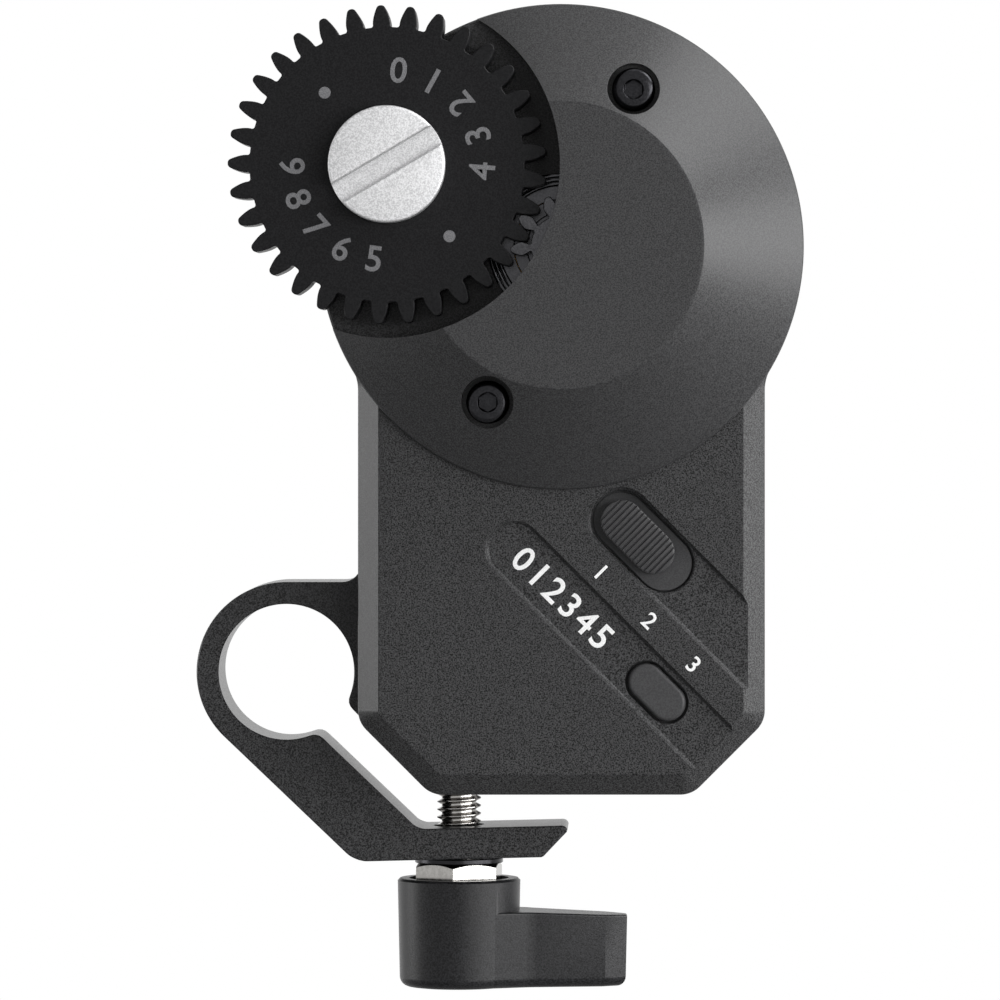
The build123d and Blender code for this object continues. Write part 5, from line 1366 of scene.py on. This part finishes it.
# ---------------------------------------------------------------- controls
@dataclass(frozen=True)
class ModeSwitch:
    """Ribbed slide knob and the sloping tray that it rides over."""

    margin: float = 0.85
    tray_gap: float = 0.15
    tray_lip: float = 0.9
    tray_deep: float = 1.1
    tray_shallow: float = 0.1
    tray_overlap: float = 0.2
    tray_back: float = 11.3
    cavity_front: float = 11.8
    slot: Point = (4.3, 1.4)
    knob: Point = (7.7, 3.8)
    knob_height: float = 0.7
    knob_gap: float = 0.05
    knob_round: float = 0.18
    ribs: int = 16
    rib_pitch: float = 0.45
    groove: float = 0.18
    groove_flare: float = 0.03
    groove_past: float = 0.1
    stem: Point = (2.2, 1.1)
    stem_back: float = 11.1
    stem_overlap: float = 0.1
    travel: float = 1.5

    @property
    def knob_along(self) -> float:
        """Middle of the knob along the channel, at rest."""
        return self.margin + (self.knob[0] - LAYOUT.window[1]) / 2

    def place(self, forward: float) -> Matrix:
        """Place of a sketch on the channel's end."""
        return on_channel(LAYOUT.switch_end, forward)

    def tray(self) -> None:
        """Model the tray with its ramp and slot, and finish it."""
        centre, (length, width) = LAYOUT.window_centre, LAYOUT.window
        flange = raised(obround(length + 2 * self.tray_lip, width + 2 * self.tray_lip, centre), 0.0,
                        self.cavity_front - self.tray_back)
        made = solid(flange, self.place(self.tray_back))
        upper = raised(obround(length - 2 * self.tray_gap, width - 2 * self.tray_gap, centre),
                       -self.tray_overlap, LAYOUT.channel_floor - self.cavity_front)
        combine(made, Join.UNION, solid(upper, self.place(self.cavity_front)))
        near, far = centre[0] - length / 2, centre[0] + length / 2
        ramp = polygon((near, -self.tray_deep), (far, -self.tray_shallow), (far, PAST), (near, PAST))
        wedge = solid(raised(ramp, -width, width), self.place(LAYOUT.channel_floor) @ ACROSS)
        middle = self.knob_along + self.travel / 2
        slot = raised(box_face(self.slot, (middle, 0.0)), -PAST, LAYOUT.front - self.tray_back)
        combine(made, Join.CUT, wedge, solid(slot, self.place(self.tray_back)))
        finished(made, "switch_ramp", GRAINED_ABS, "housing", "soft_black_plastic", "switch_tray")

    def slider(self) -> None:
        """Model the knob with its ribs and stem, and finish it."""
        back, centre = LAYOUT.channel_floor + self.knob_gap, (self.knob_along, 0.0)
        mesh = terrace(obround(*self.knob, centre, FINE_END), (0.0, self.knob_height - self.knob_round),
                       *rounding(self.knob_round))
        made = solid(mesh, self.place(back))
        half, flare, past = self.groove / 2, self.groove_flare, self.groove_past
        comb = []
        for index in range(self.ribs):
            along = centre[0] + (index - (self.ribs - 1) / 2) * self.rib_pitch
            notch = polygon((along - half - flare, past), (along - half / 2, -self.groove),
                            (along + half / 2, -self.groove), (along + half + flare, past))
            comb.append(solid(raised(notch, -self.knob[1], self.knob[1]),
                              self.place(back + self.knob_height) @ ACROSS))
        combine(made, Join.CUT, merged(*comb))
        stem = raised(box_face(self.stem, centre), 0.0, back - self.stem_back + self.stem_overlap)
        combine(made, Join.UNION, solid(stem, self.place(self.stem_back)))
        finished(made, "ribbed_knob", GRAINED_ABS, "mode_knob", "soft_black_plastic", "mode_knob")

    def build(self) -> None:
        """Build both pieces."""
        self.tray()
        self.slider()


@dataclass(frozen=True)
class SetButton:
    """Smooth button with its flange behind the wall."""

    face: Point = (5.9, 3.3)
    proud: float = 0.15
    back: float = 11.0
    flange: float = 0.7
    flange_thickness: float = 0.5
    soft: float = 0.35

    def build(self) -> None:
        """Model the button and finish it."""
        centre, tall = (LAYOUT.button_along, 0.0), LAYOUT.channel_floor + self.proud - self.back
        place = on_channel(LAYOUT.button_end, self.back)
        cap = terrace(obround(*self.face, centre, FINE_END), (0.0, tall - self.soft),
                      *rounding(self.soft, steps=6))
        wide, narrow = (size + 2 * self.flange for size in self.face)
        flange = raised(obround(wide, narrow, centre), 0.0, self.flange_thickness)
        made = combine(solid(flange, place), Join.UNION, solid(cap, place))
        finished(made, "smooth_button", GRAINED_ABS, "set_button", "soft_black_plastic", "set_button")


@dataclass(frozen=True)
class Printing:
    """Plain white numbers on the front, where such a unit is labelled."""

    proud: float = 0.012
    mode_height: float = 1.5
    mode_across: float = -4.5
    mode_along: tuple[float, ...] = (2.0, 8.1, 13.6)
    scale_height: float = 2.3
    scale_start: float = 1.2
    scale_pitch: float = 1.95
    scale_count: int = 6

    def build(self) -> None:
        """Model the numbers and finish them."""
        parts = []
        level = on_channel(LAYOUT.switch_end, LAYOUT.front)
        for number, along in enumerate(self.mode_along, start=1):
            spot = Matrix.Translation((along, self.mode_across, 0.0))
            parts.append(solid(lettering(str(number), self.mode_height, self.proud, spot), level))
        floor = on_channel(LAYOUT.button_end, LAYOUT.channel_floor)
        for index in range(self.scale_count):
            spot = Matrix.Translation((self.scale_start + index * self.scale_pitch, 0.0, 0.0))
            parts.append(solid(lettering(str(index), self.scale_height, self.proud, spot), floor))
        finished(merged(*parts), "printed_numbers", WHITE_INK, "housing", "black_anodised")


# ---------------------------------------------------------------- clamp screw and lever
@dataclass(frozen=True)
class ClampScrew:
    """Hexagon with the M4 thread that draws the clamp's arm up, and its washer."""

    washer_top: float = -16.976
    washer_thickness: float = 0.5
    washer_r: float = 4.0
    washer_bore_r: float = 2.15
    edge: float = 0.08
    flats: float = 7.3
    hex_height: float = 1.75
    hex_turn: float = -6.0
    foot_facet: Point = (0.35, 0.2)
    top_facet: Point = (-0.1, 0.35)
    facet_margin: float = 0.01
    overlap: float = 0.1
    thread_r: float = 2.0
    pitch: float = 0.7
    root_depth: float = 0.6134  # as a share of the pitch
    thread_top: float = -5.77
    turn_steps: int = 48
    insert: float = 2.4
    spline_r: float = 3.1
    spline_depth: float = 0.35
    spline_teeth: int = 18
    lever_screw_r: float = 1.28

    @property
    def corner_r(self) -> float:
        """Reach of the hexagon's corners."""
        return self.flats / math.sqrt(3)

    @property
    def hex_top(self) -> float:
        """Height of the hexagon's top, under the washer."""
        return self.washer_top - self.washer_thickness

    def washer(self) -> None:
        """Model the washer and finish it."""
        thick, wide, bore, edge = self.washer_thickness, self.washer_r, self.washer_bore_r, self.edge
        mesh = lathe((bore, 0), (wide - edge, 0), (wide, edge), (wide, thick - edge), (wide - edge, thick),
                     (bore, thick), steps=ROUND)
        made = solid(mesh, LAYOUT.on_screw(self.hex_top))
        finished(made, "arm_washer", BLACK_OXIDE, "clamp_washer", "black_oxide_steel", "clamp_washer")

    def thread(self) -> bpy.types.Object:
        """Model the thread as one turned and rising profile, its ends closed."""
        low = self.hex_top - self.hex_height / 2
        steps = round(((self.thread_top - low) / self.pitch - 1) * self.turn_steps)
        turns = steps / self.turn_steps
        root = self.thread_r - self.root_depth * self.pitch
        crest, foot = self.pitch / 8, self.pitch / 4
        flank = (self.pitch - crest - foot) / 2
        profile = ((root, 0.0), (root, foot), (self.thread_r, foot + flank),
                   (self.thread_r, foot + flank + crest), (root, self.pitch))
        mesh = bmesh.new()
        verts = [mesh.verts.new((radius, 0.0, height)) for radius, height in profile]
        edges = [mesh.edges.new(pair) for pair in zip(verts, verts[1:])]
        bmesh.ops.spin(mesh, geom=verts + edges, axis=(0, 0, 1), angle=math.tau * turns, steps=steps,
                       dvec=(0, 0, self.pitch * turns / steps))
        bmesh.ops.remove_doubles(mesh, verts=mesh.verts, dist=NEAR)
        bmesh.ops.holes_fill(mesh, edges=[edge for edge in mesh.edges if edge.is_boundary])
        bmesh.ops.triangulate(mesh, faces=[face for face in mesh.faces if len(face.verts) > 4])
        bmesh.ops.recalc_face_normals(mesh, faces=mesh.faces)
        return solid(mesh, LAYOUT.on_screw(low))

    def screw(self) -> None:
        """Model the hexagon, the serrated foot and the thread, and finish them."""
        reach, tall, flat = self.corner_r + self.facet_margin, self.hex_height, self.flats / 2
        low = LAYOUT.on_screw(self.hex_top - tall)
        nut = solid(raised(hexagon(self.flats, self.hex_turn), 0.0, tall), low)
        (foot_out, foot_up), (top_out, top_down) = self.foot_facet, self.top_facet
        corners = lathe((0, 0), (flat + foot_out, 0), (reach, foot_up), (reach, tall - top_down),
                        (flat + top_out, tall), (0, tall), steps=ROUND)
        combine(nut, Join.COMMON, solid(corners, low))
        splines = star(self.spline_r, self.spline_depth, self.spline_teeth)
        combine(nut, Join.UNION, solid(raised(splines, -self.insert, self.overlap), low))
        bore = raised(disc(self.lever_screw_r), -self.insert - PAST, tall / 2)
        combine(nut, Join.CUT, solid(bore, low))
        finished(merged(nut, self.thread()), "threaded_hexagon", NICKEL, "clamp_screw", "nickel",
                 "clamp_screw")

    def build(self) -> None:
        """Build the washer and the screw."""
        self.washer()
        self.screw()


@dataclass(frozen=True)
class Lever:
    """Cast lever: a drafted hub with a sloping handle."""

    top: float = -18.85
    height: float = 9.8
    hub_r: float = 5.56
    draft: float = 1.2
    handle_drop: float = 2.9
    foot_gap: float = 0.01
    slope: float = 0.45
    slope_end: float = 16.25
    root: Point = (1.5, 5.1)
    waist: Point = (6.6, 3.0)
    end: Point = (13.3, 2.1)
    tip: Point = (15.25, 0.9)
    blend_r: float = 4.0
    soft: float = 0.9
    edge: float = 0.22
    rim_depth: float = 0.6
    rim_gap: float = 0.3
    spline_gap: float = 0.08
    web_top: float = -22.026
    web_bottom: float = -23.026
    web_hole_r: float = 1.4
    well_r: float = 2.9

    def foot(self, tall: float) -> list[Point]:
        """Steps that raise an outline with draft and round its lowest edge.

        Args:
            tall: height of the whole part.

        Returns:
            (inset, rise) of each step.
        """
        straight = tall - self.soft
        return [(straight * math.tan(math.radians(self.draft)), straight), *rounding(self.soft, steps=6)]

    def hub(self) -> bmesh.types.BMesh:
        """Model the hub, upside down from its top."""
        profile = [(0.0, 0.0), (self.hub_r - self.edge, 0.0), (self.hub_r, self.edge)]
        radius, height = profile[-1]
        for inset, rise in self.foot(self.height - self.edge):
            radius, height = radius - inset, height + rise
            profile.append((radius, height))
        return lathe(*profile, (0.0, self.height), steps=ROUND)

    def handle(self) -> bmesh.types.BMesh:
        """Model the handle, upside down from its sloping top."""
        side = [self.root, self.waist, self.end, self.tip]
        mesh = polygon(*side, *[(x, -y) for x, y in reversed(side)])
        for sign in (1, -1):
            rounded(mesh, (self.waist[0], sign * self.waist[1]), self.blend_r)
        terrace(mesh, *self.foot(self.height - self.handle_drop - self.foot_gap))
        run = self.slope_end - self.hub_r
        for vert in mesh.verts:
            if vert.co.z < TOUCH:
                vert.co.z += self.slope * max(0.0, vert.co.x - self.hub_r) / run
        rims = [edge for edge in mesh.edges if all(vert.co.z < self.slope + NEAR for vert in edge.verts)]
        bevel(mesh, rims, self.edge, 3)
        return mesh

    def build(self) -> None:
        """Model the lever and finish it."""
        screw = ClampScrew()
        top = LAYOUT.on_screw(self.top, Facing.DOWN)
        lower = LAYOUT.on_screw(self.top - self.handle_drop, Facing.DOWN)
        made = combine(solid(self.hub(), top), Join.UNION, solid(self.handle(), lower))
        recess = raised(disc(screw.corner_r + self.rim_gap), -PAST, self.rim_depth)
        splines = star(screw.spline_r + self.spline_gap, screw.spline_depth, screw.spline_teeth)
        bore = raised(splines, -PAST, self.top - self.web_top)
        hole = raised(disc(self.web_hole_r), -PAST, self.height + PAST)
        well = raised(disc(self.well_r), self.top - self.web_bottom, self.height + PAST)
        combine(made, Join.CUT, *[solid(mesh, top) for mesh in (recess, bore, hole, well)])
        finished(made, "cast_lever", POWDER_COAT, "lever", "zinc_lever", "lever")


@dataclass(frozen=True)
class LeverSpring:
    """Return spring in the lever's well, which shortens as the lever is lifted."""

    coil_r: float = 2.0
    wire_r: float = 0.18
    turns: float = 3.25
    lift: float = 2.5
    turn_steps: int = 32
    wire_steps: int = 12

    def build(self) -> None:
        """Model the spring as one turned and rising wire, its ends closed, and finish it."""
        low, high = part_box("lever_spring")
        foot, tall = low[2] / METRES, (high[2] - low[2]) / METRES
        mesh = bmesh.new()
        upright = Matrix.Translation((self.coil_r, 0.0, self.wire_r)) @ ACROSS
        bmesh.ops.create_circle(mesh, radius=self.wire_r, segments=self.wire_steps, matrix=upright)
        steps = round(self.turns * self.turn_steps)
        bmesh.ops.spin(mesh, geom=mesh.verts[:] + mesh.edges[:], axis=(0, 0, 1), angle=math.tau * self.turns,
                       steps=steps, dvec=(0, 0, (tall - 2 * self.wire_r) / steps))
        bmesh.ops.holes_fill(mesh, edges=[edge for edge in mesh.edges if edge.is_boundary])
        bmesh.ops.recalc_face_normals(mesh, faces=mesh.faces)
        made = solid(mesh, LAYOUT.on_screw(foot))
        piece = finished(made, "lever_return_spring", SPRING_WIRE, "clamp_screw", "spring_steel",
                         "lever_spring")
        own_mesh(piece)


# ---------------------------------------------------------------- stage
@dataclass(frozen=True)
class Lamp:
    """One soft box that looks at the unit's middle."""

    name: str
    place: tuple[float, float, float]
    size: Point
    level: float

    def build(self, target: Vector) -> None:
        """Add the lamp.

        Args:
            target: the point that it looks at, in metres.
        """
        data = bpy.data.lights.new(self.name, "AREA")
        data.shape = "RECTANGLE"
        data.size, data.size_y = self.size
        data.energy = self.level * math.pi * self.size[0] * self.size[1]
        lamp = bpy.data.objects.new(self.name, data)
        bpy.context.scene.collection.objects.link(lamp)
        lamp.location = self.place
        aim = target - Vector(self.place)
        lamp.rotation_euler = aim.to_track_quat("-Z", "Y").to_euler()


@dataclass(frozen=True)
class Studio:
    """Camera, floor, world and lamps."""

    view_point: tuple[float, float, float] = (0.03181, -0.594, 0.02445)
    sensor: float = 36.0
    focal_pixels: float = 6549.0
    frame_pixels: float = 1000.0
    centre_pixel: Point = (640.0, 400.0)
    clip: Point = (0.01, 100.0)
    target: tuple[float, float, float] = (0.022, -0.006, 0.015)
    fill: float = 0.15
    paper: str = "#b2b2b2"
    floor_z: float = -0.08
    floor_size: float = 30.0
    shadow_reach: Point = (0.14, 0.32)
    shadow_share: float = 0.9
    lamps: tuple[Lamp, ...] = (
        Lamp("right softbox", (0.70, -0.29, 0.08), (0.7, 0.3), 10.0),
        Lamp("left strip", (-0.8, 0.12, 0.08), (0.35, 0.3), 9.0),
        Lamp("top softbox", (0.10, -0.20, 0.80), (0.5, 0.4), 1.0),
        Lamp("front right strip", (0.50, -0.88, 0.07), (0.5, 0.28), 6.5),
        Lamp("upper right softbox", (0.60, -0.18, 0.60), (0.5, 0.5), 8.0),
    )

    def camera(self) -> None:
        """Add the camera, level with the unit and square to its face."""
        data = bpy.data.cameras.new("camera")
        data.sensor_width = self.sensor
        data.lens = self.focal_pixels * self.sensor / self.frame_pixels
        middle = self.frame_pixels / 2
        data.shift_x = (middle - self.centre_pixel[0]) / self.frame_pixels
        data.shift_y = (self.centre_pixel[1] - middle) / self.frame_pixels
        data.clip_start, data.clip_end = self.clip
        camera = bpy.data.objects.new("camera", data)
        bpy.context.scene.collection.objects.link(camera)
        camera.location = self.view_point
        camera.rotation_euler = (math.pi / 2, 0.0, 0.0)
        bpy.context.scene.camera = camera

    def seen(self, tree: bpy.types.NodeTree) -> bpy.types.NodeSocket:
        """Add the test for rays that show the background: straight, mirrored or through glass."""
        path = add_node(tree, "ShaderNodeLightPath")
        seen = path.outputs["Is Camera Ray"]
        for kind in ("Is Glossy Ray", "Is Transmission Ray"):
            seen = add_node(tree, "ShaderNodeMath", {0: seen, 1: path.outputs[kind]},
                            operation="MAXIMUM").outputs[0]
        return seen

    def world(self) -> None:
        """Make a dim world for light that shows as white."""
        world = bpy.data.worlds.new("studio")
        bpy.context.scene.world = world
        tree = cleared_tree(world)
        light = add_node(tree, "ShaderNodeBackground", {"Color": linear("#ffffff"), "Strength": self.fill})
        white = add_node(tree, "ShaderNodeBackground", {"Color": linear("#ffffff"), "Strength": 1.0})
        mix = add_node(tree, "ShaderNodeMixShader",
                       {0: self.seen(tree), 1: light.outputs[0], 2: white.outputs[0]})
        add_node(tree, "ShaderNodeOutputWorld", {"Surface": mix.outputs[0]})

    def floor(self) -> None:
        """Add the pale floor below the unit."""
        mesh = bmesh.new()
        bmesh.ops.create_grid(mesh, size=self.floor_size / 2,
                              matrix=Matrix.Translation((0, 0, self.floor_z)))
        data = bpy.data.meshes.new("floor")
        mesh.to_mesh(data)
        mesh.free()
        floor = bpy.data.objects.new("floor", data)
        bpy.context.scene.collection.objects.link(floor)
        material = bpy.data.materials.new("white_paper_floor")
        tree = cleared_tree(material)
        paper = add_node(tree, "ShaderNodeBsdfDiffuse", {"Color": linear(self.paper)})
        white = add_node(tree, "ShaderNodeEmission", {"Color": linear("#ffffff"), "Strength": 1.0})
        place = add_node(tree, "ShaderNodeTexCoord").outputs["Object"]
        away = add_node(tree, "ShaderNodeVectorMath", {0: place}, operation="LENGTH")
        near, far = self.shadow_reach
        fade = add_node(tree, "ShaderNodeMapRange",
                        {"Value": away.outputs["Value"], "From Min": near, "From Max": far,
                         "To Min": 1.0 - self.shadow_share, "To Max": 1.0}, interpolation_type="SMOOTHSTEP")
        share = add_node(tree, "ShaderNodeMath", {0: self.seen(tree), 1: fade.outputs["Result"]},
                         operation="MULTIPLY")
        mix = add_node(tree, "ShaderNodeMixShader", {0: share.outputs[0], 1: paper.outputs[0],
                                                     2: white.outputs[0]})
        add_node(tree, "ShaderNodeOutputMaterial", {"Surface": mix.outputs[0]})
        data.materials.append(material)

    def build(self) -> None:
        """Set up the whole studio."""
        self.camera()
        self.world()
        self.floor()
        for lamp in self.lamps:
            lamp.build(Vector(self.target))
        bpy.context.scene.view_settings.view_transform = "Standard"


def dress_inner_nodes(frame: dict) -> None:
    """Give every CAD node that no piece stands for the finish of its material slot."""
    slots = {row["node"]: row["material_slot"] for row in frame["record"]["subparts"]}
    for name, node in frame["nodes"].items():
        node.data.materials.clear()
        node.data.materials.append(SLOT_FINISHES[slots[name]].material())


def main() -> None:
    """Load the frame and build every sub-assembly."""
    logging.basicConfig(level=logging.INFO, format="%(message)s")
    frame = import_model()
    Studio().build()
    dress_inner_nodes(frame)
    parts = (Housing(), BackCover(), GearCover(), LensGear(), OutputShaft(), ModeSwitch(), SetButton(),
             Printing(), ClampScrew(), Lever(), LeverSpring())
    for part in parts:
        LOG.info("building %s", type(part).__name__)
        part.build()


if __name__ == "__main__":
    main()
